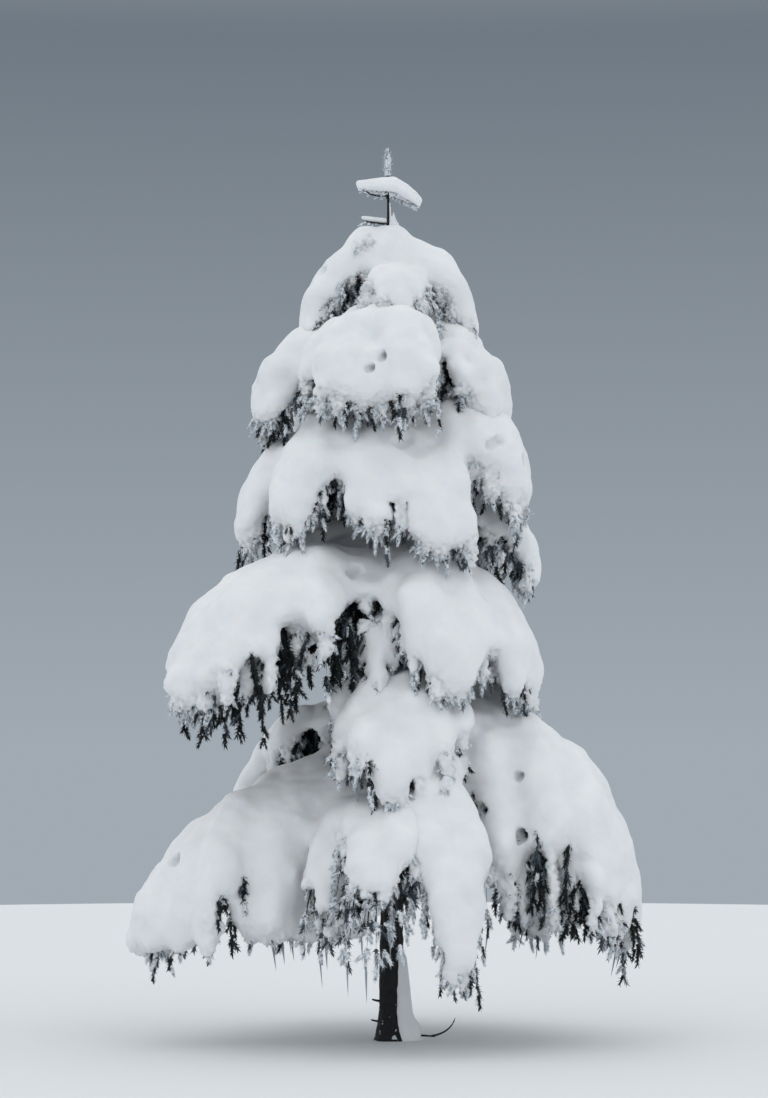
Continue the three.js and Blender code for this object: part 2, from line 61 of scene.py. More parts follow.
camera_data = bpy.data.cameras.new("long lens")
camera_data.sensor_width = SENSOR_LONG_SIDE
camera_data.lens = FOCAL_PIXELS / IMAGE_HEIGHT * SENSOR_LONG_SIDE
camera_data.clip_end = 200
camera = bpy.data.objects.new("camera", camera_data)
camera.location = EYE
camera.rotation_euler = (math.radians(90 + PITCH_DEGREES), 0, 0)
bpy.context.scene.collection.objects.link(camera)
bpy.context.scene.camera = camera
print("lens:", round(camera_data.lens, 1), "mm")

# %% [markdown]
# A tree grows by a few rules that repeat, so the rules are written once and used at every size. Each bough is
# an arc in an upright plane: it leaves the trunk, runs out to a knee and then droops. Each side twig is the
# same kind of arc, smaller. The numbers below are the tree's own driving sizes, and each row is one bough:
# its side, the height of its root, its bearing, its reach, its climb at the knee, how far its tip hangs below
# its root, the length and the sag of its longest twigs, the depth of its snow and its pairs of main twigs.

# %% The boughs of the tree
MM = 0.001
TREE_HEIGHT = 4.9
TRUNK_TOP = 4.57
Bough = namedtuple("Bough", "name height bearing reach climb drop spread sag snow pairs")
Whorl = namedtuple("Whorl", "hub_height hub_radius hub_depth boughs")

WHORL_TABLE = [
    (1400, 180, 260, [
        ("left", 1510, 193, 1130, -260, 760, 450, 400, 150, 4),
        ("front_left", 1315, 243, 660, -10, 465, 240, 220, 105, 2),
        ("front", 1260, 265, 860, 70, 320, 390, 320, 130, 3),
        ("back_right", 1350, 42, 960, 40, 460, 380, 260, 130, 2),
        ("back_left", 1350, 118, 960, 40, 480, 380, 260, 130, 2),
    ]),
    (1830, 170, 200, [
        ("right", 1830, 346, 1000, -130, 700, 500, 480, 160, 4),
        ("front_right", 1670, 289, 940, -40, 1050, 270, 230, 115, 3),
        ("front", 1910, 270, 640, 60, 370, 430, 330, 130, 3),
        ("low_right", 1930, 2, 580, 50, 130, 230, 120, 100, 1),
        ("back", 1800, 82, 920, 60, 460, 420, 280, 130, 3),
        ("back_left", 1770, 143, 800, 40, 420, 340, 240, 130, 2),
    ]),
    (2560, 160, 230, [
        ("left", 2560, 211, 1010, -60, 420, 500, 450, 165, 4),
        ("front_left", 2390, 262, 560, -20, 420, 120, 90, 65, 1),
        ("front_right", 2550, 296, 630, 60, 340, 280, 310, 130, 3),
        ("right", 2470, 336, 620, 60, 300, 320, 260, 130, 3),
        ("back_right", 2460, 34, 690, 70, 330, 340, 250, 130, 2),
        ("back", 2490, 92, 900, 80, 380, 400, 260, 130, 3),
        ("back_left", 2720, 152, 700, 0, 320, 300, 220, 130, 2),
    ]),
    (3210, 135, 210, [
        ("left", 3170, 186, 650, 100, 170, 290, 280, 120, 2),
        ("front_left", 3302, 226, 610, 80, 280, 270, 250, 120, 2),
        ("front", 3260, 263, 560, 90, 260, 250, 240, 115, 2),
        ("front_right", 3216, 294, 560, 100, 330, 240, 240, 115, 2),
        ("right", 3330, 338, 600, 100, 190, 300, 240, 130, 3),
        ("low_right", 3020, 2, 640, 40, 290, 220, 230, 105, 2),
        ("back_right", 3230, 52, 640, 100, 300, 310, 220, 120, 2),
        ("back_left", 3245, 128, 660, 90, 320, 310, 220, 120, 2),
    ]),
    (3860, 115, 110, [
        ("left", 3790, 194, 600, 70, 280, 250, 240, 125, 2),
        ("front", 3870, 262, 470, 70, 260, 400, 350, 125, 3),
        ("right", 3810, 344, 490, 100, 250, 240, 250, 125, 2),
        ("back_right", 3772, 58, 490, 100, 250, 270, 210, 115, 2),
        ("back_left", 3815, 130, 510, 70, 290, 270, 210, 115, 2),
    ]),
    (4250, 80, 170, [
        ("left", 4260, 190, 370, 50, 250, 170, 190, 85, 2),
        ("small_left", 4375, 203, 190, 30, 40, 70, 50, 45, 1),
        ("front", 4120, 279, 330, 40, 110, 240, 170, 75, 2),
        ("small_right", 4218, 318, 180, 45, 0, 70, 30, 40, 1),
        ("right", 4255, 348, 350, 80, 240, 170, 180, 90, 2),
        ("back", 4200, 92, 370, 70, 210, 210, 170, 85, 2),
    ]),
]
CAP_TABLE = (4722, 80, 48, [
    ("left", 4640, 186, 150, -15, -60, 60, 20, 75, 1),
    ("front", 4650, 262, 100, 0, 10, 60, 25, 70, 1),
    ("right", 4655, 348, 130, 0, 60, 60, 30, 75, 1),
    ("back", 4650, 95, 100, 0, 10, 60, 25, 70, 1),
])
LEDGE_ROW = ("ledge", 4480, 187, 145, 10, -15, 34, 8, 40, 1)


def grown_bough(name, row):
    """A row of the table as a bough in metres and radians."""
    side, height, bearing, *lengths, pairs = row
    lengths = [value * MM for value in lengths]
    return Bough(name, height * MM, math.radians(bearing), *lengths, pairs)


def whorl_of(prefix, table):
    hub_height, hub_radius, hub_depth, rows = table
    boughs = [grown_bough(f"{prefix}_{row[0]}", row) for row in rows]
    return Whorl(hub_height * MM, hub_radius * MM, hub_depth * MM, boughs)


WHORLS = [whorl_of(number, table) for number, table in enumerate(WHORL_TABLE, 1)]
CAP = whorl_of("cap", CAP_TABLE)
LEDGE = grown_bough("ledge", LEDGE_ROW)
print("boughs in each whorl:", [len(whorl.boughs) for whorl in WHORLS])

# %% [markdown]
# The trunk leans and bows a little, and tapers from the root flare to the tip. Arcs are quadratic curves of
# three points, so a point and a heading anywhere along them cost one line of arithmetic each. A Bezier object
# could give the same curves, but not at thousands of places at once.

# %% Trunk and arcs
UP = np.array([0.0, 0.0, 1.0])
LEAN, BOW = -0.019, 0.014  # how far right of its foot the trunk's top leans, and its middle bows
TRUNK_TIP_RADIUS, TRUNK_RADIUS, TRUNK_TAPER = 0.007, 0.062, 0.85
FLARE_RADIUS, FLARE_HEIGHT = 0.024, 0.17
KNEE = 0.82  # where along its reach an arc turns down


def blend(a, b, share):
    return a + (b - a) * share


def trunk_middle(height):
    share = height / TREE_HEIGHT
    return np.array([LEAN * share + BOW * math.sin(math.pi * share), 0.0, height])


def trunk_radius(height):
    left = np.maximum(0, 1 - height / TRUNK_TOP)
    flare = np.maximum(0, 1 - height / FLARE_HEIGHT)
    return TRUNK_TIP_RADIUS + TRUNK_RADIUS * left**TRUNK_TAPER + FLARE_RADIUS * flare**2


def arc(start, bearing, reach, climb, drop):
    """An arc in an upright plane, from a start, towards a bearing."""
    out = np.array([math.cos(bearing), math.sin(bearing), 0.0])
    knee = start + out * reach * KNEE + UP * climb
    end = start + out * reach - UP * drop
    return {"points": (start, knee, end), "bearing": bearing, "side": np.array([-out[1], out[0], 0.0])}


def along(limb, t):
    """The points of an arc at the shares t of its course."""
    start, knee, end = limb["points"]
    t = np.asarray(t, float)[..., None]
    return (1 - t) ** 2 * start + 2 * t * (1 - t) * knee + t**2 * end


def unit(vectors):
    return vectors / np.maximum(np.linalg.norm(vectors, axis=-1, keepdims=True), 1e-9)


def heading(limb, t):
    start, knee, end = limb["points"]
    t = np.asarray(t, float)[..., None]
    return unit((1 - t) * (knee - start) + t * (end - knee))


print("trunk leans", round(1000 * trunk_middle(TREE_HEIGHT)[0], 1), "mm, and its foot is",
      round(2000 * float(trunk_radius(0))), "mm wide")

# %% [markdown]
# Main twigs leave a bough in pairs, more steeply sideways near the trunk than at the tip, and the longest are
# in its middle. The draws that make them uneven come from a small generator seeded by the bough's name, so
# each bough keeps its character on every run.

# %% Boughs and their main twigs
BOUGH_RADIUS, BOUGH_RADIUS_PER_METRE, BOUGH_TIP_RADIUS = 0.005, 0.026, 0.009
TWIG_ANGLE_AT_TRUNK = math.radians(78)  # away from the bough
TWIG_ANGLE_AT_TIP = math.radians(24)
TWIG_CLIMB = 0.12
STEEPEST = 1.3  # the slope of a bough that its twigs still follow
UNEVENNESS = 0.18
FIRST_TWIG, LAST_TWIG = 0.22, 0.95
LEAST_FULLNESS = 0.4  # of the longest twigs' length, at both ends of the bough


def bough_arc(b):
    return arc(trunk_middle(b.height), b.bearing, b.reach, b.climb, b.drop)


def bough_radius(b, t):
    return blend(BOUGH_RADIUS + BOUGH_RADIUS_PER_METRE * b.reach, BOUGH_TIP_RADIUS, t)


def twig_arc(b, t, side, length, sag):
    """A side twig: it leaves the bough at t, on the side given by -1 or 1, and follows it downhill."""
    axis = bough_arc(b)
    towards = heading(axis, t)
    slope = -towards[2] / math.hypot(towards[0], towards[1])
    turn = blend(TWIG_ANGLE_AT_TRUNK, TWIG_ANGLE_AT_TIP, t)
    drop = sag + min(max(slope, 0), STEEPEST) * length * math.cos(turn)
    return arc(along(axis, t), axis["bearing"] + side * turn, length, TWIG_CLIMB * length, drop)


def fullness(t):
    """How long the twigs at t may be, as a share of the longest."""
    return blend(LEAST_FULLNESS, 1, math.sin(math.pi * t**0.85) ** 0.8)


def seeded(name):
    """Draws that are the same on every run, from a seed made of the name's letters."""
    state = 7
    for letter in name:
        state = (state * 31 + ord(letter)) % 2**32
    while True:
        state = (1664525 * state + 1013904223) % 2**32
        yield state / 2**32


def main_twigs(b):
    """Where each pair of main twigs leaves the bough, and the lengths of its two twigs as shares."""
    draw = seeded(b.name)
    pairs = []
    for pair in range(b.pairs):
        t = blend(FIRST_TWIG, LAST_TWIG, (pair + 0.5) / b.pairs)
        sizes = {side: fullness(t) * blend(1 - UNEVENNESS, 1 + UNEVENNESS, next(draw)) for side in (-1, 1)}
        pairs.append((t, sizes))
    return pairs


print("main twigs:", 2 * sum(b.pairs for whorl in WHORLS for b in whorl.boughs))

# %% [markdown]
# Between the main twigs a real bough carries many more. They are added at even steps along it, as long as
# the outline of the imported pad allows: full length beside a main twig, and shorter in the valley between two.
# Snow covers each twig out to a share of its length, more at the bough's tip than near the trunk, where the
# whorl above keeps the snowfall off. Years of such loads have bent some boughs' twigs for good.

# %% How far twigs reach, and how much of them is covered
VALLEY = 0.7  # the reach between two main twigs, against the reach along them
COVER = (0.78, 0.95)  # how far out snow covers the twigs beside the trunk, and those at the tip
COVERS = {
    "1_left": (1.14, 1.14), "1_front": (0.66, 0.5), "1_front_left": (0.7, 0.7),
    "2_right": (0.86, 0.98), "2_front_right": (0.76, 0.9), "2_front": (0.84, 0.78),
    "3_left": (0.72, 0.95), "3_front_left": (0.85, 0.95),
    "4_front": (0.62, 0.9), "4_left": (0.74, 0.93),
    "6_left": (0.9, 0.95), "6_front": (0.5, 0.6), "6_right": (0.86, 0.94),
}
COVER_FULL_AT = 0.6  # the share of the bough beyond which the cover is as at its tip
NARROWED = {"2_front_right": 0.78}  # boughs whose twigs other boughs have kept short
# Where old loads have bent a bough's twigs on one side, the least and the greatest height of their ends.
BENT_TO = {
    ("1_left", 1): (0.56, 0.62), ("1_left", -1): (0.56, 4), ("2_front", -1): (1.48, 4),
    ("3_left", 1): (1.84, 4), ("3_left", -1): (1.84, 4), ("2_right", -1): (0.4, 0.72),
    ("5_front", 1): (3.4, 4), ("5_front", -1): (3.4, 4), ("5_left", 1): (3.38, 4), ("4_left", 1): (2.7, 4),
}
BENT_LESS = 0.04  # how much higher than that a twig of no length would end


def outline_share(b, t, side):
    """How long the twigs at t are, from the lengths of the main twigs and the valleys between them."""
    pairs = main_twigs(b)
    places = [pair[0] for pair in pairs]
    size = np.interp(t, places, [sizes[side] for _, sizes in pairs])
    size *= fullness(t) / np.interp(t, places, [fullness(place) for place in places])
    step = (LAST_TWIG - FIRST_TWIG) / b.pairs
    lobe = math.cos(math.pi * (t - places[0]) / step) ** 2
    return size * blend(VALLEY, 1.0, lobe) * NARROWED.get(b.name, 1)


def covered(b, t):
    """The share of a twig that snow covers, for a twig that leaves its bough at t."""
    return blend(*COVERS.get(b.name, COVER), min(t / COVER_FULL_AT, 1) ** 1.5)


def bent(limb, b, side, share):
    """The limb with its end moved up or down to where old loads have bent it."""
    start, knee, end = limb["points"]
    least, greatest = BENT_TO.get((b.name, side), (0, TREE_HEIGHT))
    height = min(max(end[2], least), greatest + BENT_LESS * abs(1 - share))
    limb["points"] = (start, knee, end + UP * (height - end[2]))
    return limb


def side_limb(b, t, side, share):
    return bent(twig_arc(b, t, side, b.spread * share, b.sag * share), b, side, share)


lowest = WHORLS[0].boughs[0]
print("half-way along bough", lowest.name, "snow covers", round(covered(lowest, 0.5), 2), "of a twig")

# %% [markdown]
# From each twig hang branchlets, the third order of wood. On this kind of spruce they droop like fringes.
# Where a twig leaves its snow, its branchlets are short, stand out and catch rime. In the shade under the
# pads they hang longer and stay dark. A few twigs more carry the bough's tip on.

# %% Grow twigs and branchlets
TWIGS_PER_MAIN = 3
TWIGS_BETWEEN = (0.13, 0.98)  # shares of the bough
TWIG_JITTER = 0.25  # of the step between two twigs
TWIG_SIZES = (0.9, 1.08)
BRANCHLET_STEP = 0.055
# How much longer the branchlets of some boughs hang, out to a share of the bough.
HANGS = {
    "1_left": (1.4, 0.6), "1_front_left": (1.3, 0.6), "1_back_left": (1.3, 0.6), "2_right": (1.9, 0.9),
    "2_back_left": (1.4, 0.6), "3_left": (2.0, 0.8),
}
# Beyond this share of a bough, whorl by whorl, its twigs stand in the open, where fog brings rime. Nearer
# the trunk they stand in shade, and many of their shoots get the near-black needles, whose colour is painted
# shade.
OPEN_AIR_FROM = [0.5, 0.5, 0.5, 0.4, 0.25, 0.0]
SHADED_TO = {"2_right": 0.94, "3_left": 0.7}  # boughs that shade their own twigs further out
TIP_TURNS = [-16, 2, 17]  # degrees
TIP_FULLNESS = 0.9  # the tip's twigs are as long as those of this share of the bough
TIP_SHARE, TIP_START, TIP_TWIG_LENGTH = 0.75, 0.97, 0.6
# Lengths, turns away from the twig in degrees, and drops per length, of branchlets at the rim and inside.
RIM_BRANCHLETS = ((0.05, 0.095), (25, 60), (0.5, 1.0))
INNER_BRANCHLETS = ((0.11, 0.22), (30, 100), (0.9, 1.6))
RIM_STARTS = 0.12  # this much of a twig before the snow's end, its rim starts
RIM_LEAST = 0.55  # and never further in than this
LAST_BRANCHLET = (0.04, 0.08)  # lengths of the one that carries a twig's tip on
Twig = namedtuple("Twig", "bough t side limb length")
Branchlet = namedtuple("Branchlet", "limb length rim open_air")


def tip_limb(b, turn):
    """A twig that carries the bough's tip on, turned a little to one side."""
    share = fullness(TIP_FULLNESS)
    length = TIP_SHARE * b.spread * share
    limb = twig_arc(b, TIP_START, 1, length, b.sag * share)
    bearing = b.bearing + math.radians(turn)
    drop = limb["points"][0][2] - limb["points"][2][2]
    return bent(arc(limb["points"][0], bearing, length, TWIG_CLIMB * length, drop), b, 1, share)


def twigs_of(b, rng):
    """The twigs of a bough: on both sides at uneven steps, and a few at its tip."""
    count = TWIGS_PER_MAIN * b.pairs + 1
    twigs = []
    for number in range(count):
        for side in (-1, 1):
            t = blend(*TWIGS_BETWEEN, (number + 0.5 + rng.uniform(-TWIG_JITTER, TWIG_JITTER)) / count)
            share = outline_share(b, t, side) * rng.uniform(*TWIG_SIZES)
            twigs.append(Twig(b, t, side, side_limb(b, t, side, share), b.spread * share))
    for turn in TIP_TURNS:
        limb = tip_limb(b, turn * rng.uniform(0.8, 1.2))
        twigs.append(Twig(b, 1.0, 1 if turn > 0 else -1, limb, TIP_TWIG_LENGTH * b.spread))
    return twigs


def last_branchlet(twig, open_air, rng):
    """The branchlet that carries a twig's tip on."""
    tip, towards = along(twig.limb, 1.0), heading(twig.limb, 1.0)
    length = rng.uniform(*LAST_BRANCHLET)
    flat = max(0.25, math.hypot(towards[0], towards[1]))
    limb = arc(tip, twig.limb["bearing"], length * flat, 0, length * (0.3 - towards[2]))
    return Branchlet(limb, length, True, open_air)


def branchlets_of(twig, rng):
    """The branchlets of a twig, side by side out to its tip."""
    made = []
    cover = covered(twig.bough, twig.t)
    open_air = twig.t > SHADED_TO.get(twig.bough.name, OPEN_AIR_FROM[int(twig.bough.name[0]) - 1])
    hang, hang_up_to = HANGS.get(twig.bough.name, (1, 0))
    hang = hang if twig.t < hang_up_to else 1
    stations = np.arange(0.03, 0.97 * twig.length, BRANCHLET_STEP)
    for number, station in enumerate(stations):
        s = station / twig.length
        side = 1 if number % 2 else -1
        rim = s > min(cover, 0.97) - RIM_STARTS and s > RIM_LEAST
        lengths, turns, drops = RIM_BRANCHLETS if rim else INNER_BRANCHLETS
        length = rng.uniform(*lengths) * (blend(1, hang, 0.5) if rim else hang)
        turn = math.radians(rng.uniform(*turns))
        drop = length * rng.uniform(*drops)
        start = along(twig.limb, s)
        limb = arc(start, twig.limb["bearing"] + side * turn, length * 0.5, -0.1 * length, drop)
        made.append(Branchlet(limb, length, rim, open_air))
    return made + [last_branchlet(twig, open_air, rng)]


rng = np.random.default_rng(1)
twigs = [[twig for b in whorl.boughs for twig in twigs_of(b, rng)] for whorl in WHORLS]
branchlets = [[branchlet for twig in level for branchlet in branchlets_of(twig, rng)] for level in twigs]
print("twigs:", sum(map(len, twigs)), "branchlets:", sum(map(len, branchlets)))

# %% [markdown]
# Settled snow has no edges: it creeps and sinters until every hump flows into the next, and only its rim
# breaks up where single twigs carry it. Such a form can be sculpted by hand, simulated, or described as a
# field. The field fits here. Every stretch of bough and twig adds a soft capsule to a grid of numbers, wide
# and very soft near the bough, thin and crisp at the rim. The snow's surface is where the sum passes one.
# Noise roughens it, more at the rim than on the domes.

# %% A field of snow
SOFTNESS_REACH = 5  # how many times its softness a capsule is felt beyond its radius
PIT_REACH = 0.1
NO_SNOW = 1e-6  # stands for none where a logarithm is taken


class SnowField:
    def __init__(self, low, high, cell):
        self.low, self.cell = np.array(low, float), cell
        counts = np.ceil((np.array(high) - self.low) / cell).astype(int) + 1
        self.axes = [(self.low[k] + cell * np.arange(counts[k])).astype(np.float32) for k in range(3)]
        self.total = np.zeros(counts, np.float32)
        self.crisp = np.zeros(counts, np.float32)
        self.pits = np.zeros(counts, np.float32)

    def window(self, low, high):
        first = np.maximum(np.floor((low - self.low) / self.cell).astype(int), 0)
        last = np.minimum(np.ceil((high - self.low) / self.cell).astype(int) + 1, self.total.shape)
        window = tuple(slice(a, max(a, b)) for a, b in zip(first, last))
        return window, np.ix_(*[self.axes[k][window[k]] for k in range(3)])

    def distance(self, grid, a, b):
        """Distance to the line from a to b, and where along it the nearest point is."""
        line = b - a
        rel = [grid[k] - np.float32(a[k]) for k in range(3)]
        share = sum(rel[k] * np.float32(line[k] / max(line @ line, 1e-12)) for k in range(3))
        share = np.clip(share, 0, 1)
        return np.sqrt(sum((rel[k] - share * np.float32(line[k])) ** 2 for k in range(3))), share

    def chain(self, points, radii, soft, is_rim=False):
        """Capsules end to end, which count as one."""
        reach = max(radii) + SOFTNESS_REACH * soft
        window, grid = self.window(points.min(0) - reach, points.max(0) + reach)
        gap = np.inf
        for k in range(len(points) - 1):
            distance, share = self.distance(grid, points[k], points[k + 1])
            gap = np.minimum(gap, distance - blend(radii[k], radii[k + 1], share))
        added = np.exp(-gap / soft)
        self.total[window] += added
        if is_rim:
            self.crisp[window] += added

    def dig(self, a, b, radius, soft):
        """A pit: the capsule is taken out of the snow."""
        reach = radius + PIT_REACH
        window, grid = self.window(np.minimum(a, b) - reach, np.maximum(a, b) + reach)
        distance, _ = self.distance(grid, a, b)
        self.pits[window] += 8 / (1 + np.exp(np.clip((distance - radius) / soft, -20, 20)))

    def nearest(self, points):
        """The grid numbers nearest to the points, and which points are on the grid at all."""
        index = np.rint((points - self.low) / self.cell).astype(int)
        inside = np.all((index >= 0) & (index < self.total.shape), axis=1)
        return tuple(np.clip(index, 0, np.array(self.total.shape) - 1).T), inside

    def depth(self, points):
        """About how many softnesses deep points lie in the snow; below nought is outside."""
        index, inside = self.nearest(points)
        return np.where(inside, np.log(np.maximum(self.total[index], NO_SNOW)), -9.0)

    def rim_share(self, points):
        index, _ = self.nearest(points)
        return self.crisp[index] / np.maximum(self.total[index], NO_SNOW)


def lattice_noise(shape, pitch, wavelength, seed):
    """Smooth noise from -1 to 1 on a grid: a coarse lattice of draws, filled in along each axis."""
    rng = np.random.default_rng(seed)
    steps = [pitch * np.arange(n) / wavelength for n in shape]
    value = rng.uniform(-1, 1, [int(s[-1]) + 2 for s in steps]).astype(np.float32)
    for axis, places in enumerate(steps):
        lower = places.astype(int)
        share = places - lower
        share = (share * share * (3 - 2 * share)).astype(np.float32)
        share = share.reshape([-1 if k == axis else 1 for k in range(len(shape))])
        value = np.take(value, lower, axis) * (1 - share) + np.take(value, lower + 1, axis) * share
    return value


print("noise on three points:", lattice_noise((3,), 0.1, 0.26, 1).round(2))

# %% [markdown]
# A grid of numbers becomes a mesh by the method called surface nets: each cell that the surface crosses gets
# one point, at the mean of the crossings on its edges, and each grid edge that is crossed gets one face
# between the four cells round it. It gives even, square faces, which suit smooth snow better than the slivers
# of marching cubes.

# %% From field to mesh
def surface_net(value, low, cell):
    """Points and four-sided faces of the surface where a grid of numbers passes nought."""
    inside = value > 0
    counts = np.array(value.shape) - 1
    corners = [(i, j, k) for i in (0, 1) for j in (0, 1) for k in (0, 1)]

    def corner(grid, offset):
        return grid[tuple(slice(o, o + n) for o, n in zip(offset, counts))]

    filled = sum(corner(inside, offset).astype(np.int8) for offset in corners)
    cells = np.argwhere((filled > 0) & (filled < 8))
    index = np.full(counts, -1, np.int32)
    index[tuple(cells.T)] = np.arange(len(cells))
    total, hits = np.zeros((len(cells), 3)), np.zeros(len(cells))
    for offset in corners:
        for axis in range(3):
            if offset[axis]:
                continue
            ahead = tuple(o + (k == axis) for k, o in enumerate(offset))
            a = value[tuple((cells + offset).T)]
            b = value[tuple((cells + ahead).T)]
            crossed = (a > 0) != (b > 0)
            share = a[crossed] / (a[crossed] - b[crossed])
            place = np.tile(np.array(offset, float), (int(crossed.sum()), 1))
            place[:, axis] += share
            total[crossed] += place
            hits[crossed] += 1
    points = low + cell * (cells + total / hits[:, None])
    faces = []
    for axis in range(3):
        one, two = (axis + 1) % 3, (axis + 2) % 3
        trimmed = [slice(1, -1)] * 3
        trimmed[axis] = slice(0, -1)
        shifted = list(trimmed)
        shifted[axis] = slice(1, None)
        near, far = inside[tuple(trimmed)], inside[tuple(shifted)]
        places = np.argwhere(near != far)
        leaving = near[tuple(places.T)]
        places = places + [0 if k == axis else 1 for k in range(3)]
        ring = []
        for back_one, back_two in ((1, 1), (0, 1), (0, 0), (1, 0)):
            beside = places.copy()
            beside[:, one] -= back_one
            beside[:, two] -= back_two
            ring.append(index[tuple(beside.T)])
        ring = np.stack(ring, 1)
        ring[~leaving] = ring[~leaving][:, ::-1]
        faces.append(ring)
    return points, np.concatenate(faces)


cells_out = np.arange(-4.0, 5.0)
ball = 3 - np.sqrt(sum(grid**2 for grid in np.meshgrid(cells_out, cells_out, cells_out)))
print("a ball of three cells' radius gets", len(surface_net(ball, np.zeros(3), 1.0)[1]), "faces")

# %% [markdown]
# A few rounds of smoothing that shrink and swell by turns take off the grid's print, which a plain smoothing
# would do only at the cost of the thin fingers. Noise also leaves crumbs that hang in the air. They are found
# by letting every point take the lowest number among its neighbours, until each loose bit has one number.

# %% Smooth the mesh and drop loose bits
SMOOTHING = [0.5, -0.52, 0.5, -0.52]
LEAST_ISLAND = 250  # points; smaller loose bits are dropped


def edges_of(faces):
    return np.concatenate([faces[:, [k, (k + 1) % faces.shape[1]]] for k in range(faces.shape[1])])


def smoothed(points, faces):
    """Shrinks and swells by turns, so that small bumps go and the size stays."""
    a, b = edges_of(faces).T
    count = np.maximum(np.bincount(a, minlength=len(points)), 1)[:, None]
    for strength in SMOOTHING:
        mean = np.stack([np.bincount(a, points[b, k], len(points)) for k in range(3)], 1) / count
        points = points + strength * (mean - points)
    return points


def point_normals(points, faces):
    across = np.cross(points[faces[:, 2]] - points[faces[:, 0]], points[faces[:, 3]] - points[faces[:, 1]])
    total = [np.bincount(faces.ravel(), np.repeat(across[:, k], 4), len(points)) for k in range(3)]
    return unit(np.stack(total, 1))


def without_islands(points, faces, least):
    label = np.arange(len(points))
    a, b = edges_of(faces).T
    while True:
        new = label.copy()
        np.minimum.at(new, a, label[b])
        np.minimum.at(new, b, label[a])
        new = new[new]
        if np.array_equal(new, label):
            break
        label = new
    keep = np.bincount(label, minlength=len(points))[label] >= least
    number = np.cumsum(keep) - 1
    return points[keep], number[faces[keep[faces[:, 0]]]]


print("smoothing rounds:", len(SMOOTHING), "least loose bit:", LEAST_ISLAND, "points")

# %% [markdown]
# Every material starts from a colour as it is read on a screen, so one function turns a hex code into the
# linear numbers that the shader wants. One more adds a node with its settings, its values and its links.

# %% Helpers for materials
def linear(hex_code):
    parts = [int(hex_code[k : k + 2], 16) / 255 for k in (1, 3, 5)]
    return (*[p / 12.92 if p <= 0.04045 else ((p + 0.055) / 1.055) ** 2.4 for p in parts], 1.0)


def add(tree, kind, values=None, links=None, stops=(), **settings):
    """Adds a node. Stops are the places and colours of a colour ramp, with its two ends first."""
    node = tree.nodes.new(kind)
    for name, value in settings.items():
        setattr(node, name, value)
    for socket, value in (values or {}).items():
        node.inputs[socket].default_value = value
    for socket, source in (links or {}).items():
        tree.links.new(source, node.inputs[socket])
    for number, (position, hex_code) in enumerate(stops):
        elements = node.color_ramp.elements
        element = elements[number] if number < 2 else elements.new(position)
        element.position, element.color = position, linear(hex_code)
    return node


def new_material(name, **values):
    """A material with values on its shader's own sockets, its tree, its shader, and places on the tree."""
    material = bpy.data.materials.new(name)
    material.use_nodes = True
    tree = material.node_tree
    shader = tree.nodes["Principled BSDF"]
    for socket, value in values.items():
        shader.inputs[socket.replace("_", " ")].default_value = value
    where = tree.nodes.new("ShaderNodeTexCoord").outputs["Object"]
    return material, tree, shader, where


print("mid grey on a screen is", round(linear("#808080")[0], 3), "of the light of white")

# %% [markdown]
# Hundreds of thousands of faces go into a mesh fastest as arrays. Each piece rides on the tree's one body,
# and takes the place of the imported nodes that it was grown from.

# %% Helper for pieces
triangles = {}


def make_piece(name, points, faces, material, slot, nodes, smooth=True):
    """A mesh from arrays, riding on the tree, that takes the place of the given nodes."""
    faces = np.asarray(faces)
    sides = faces.shape[1]
    mesh = bpy.data.meshes.new(name)
    mesh.vertices.add(len(points))
    mesh.vertices.foreach_set("co", np.asarray(points, np.float32).ravel())
    mesh.loops.add(faces.size)
    mesh.loops.foreach_set("vertex_index", faces.astype(np.int32).ravel())
    mesh.polygons.add(len(faces))
    mesh.polygons.foreach_set("loop_start", (np.arange(len(faces)) * sides).astype(np.int32))
    mesh.polygons.foreach_set("use_smooth", np.full(len(faces), smooth))
    mesh.update(calc_edges=True)
    mesh.materials.append(material)
    piece = bpy.data.objects.new(name, mesh)
    bpy.context.scene.collection.objects.link(piece)
    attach(piece, "root")
    if nodes:
        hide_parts(*nodes)
    triangles[slot] = triangles.get(slot, 0) + len(faces) * (sides - 2)
    print(name, "has", len(faces) * (sides - 2), "triangles")
    return piece


print("packed nodes to replace:", len(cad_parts))

# %% [markdown]
# Settled snow is a pack of ice grains, rounded by weeks of cold. Light enters it and comes out again a few
# centimetres away, a little bluer, so shadows on it are soft and never grey-black. The real surface is
# powdery, with grains of about a millimetre, too fine to show from 16 m, so the grain is drawn 6 mm wide.
# Wide and faint patches stand for wind-packed and loose snow.

# %% Settled snow
PER_MM = 1000.0  # a texture scale of one repeat per millimetre, in an object measured in metres
PATCH_WIDTH, CRUST_WIDTH, GRAIN_WIDTH = 180, 35, 6  # millimetres
ICE_IOR = 1.31


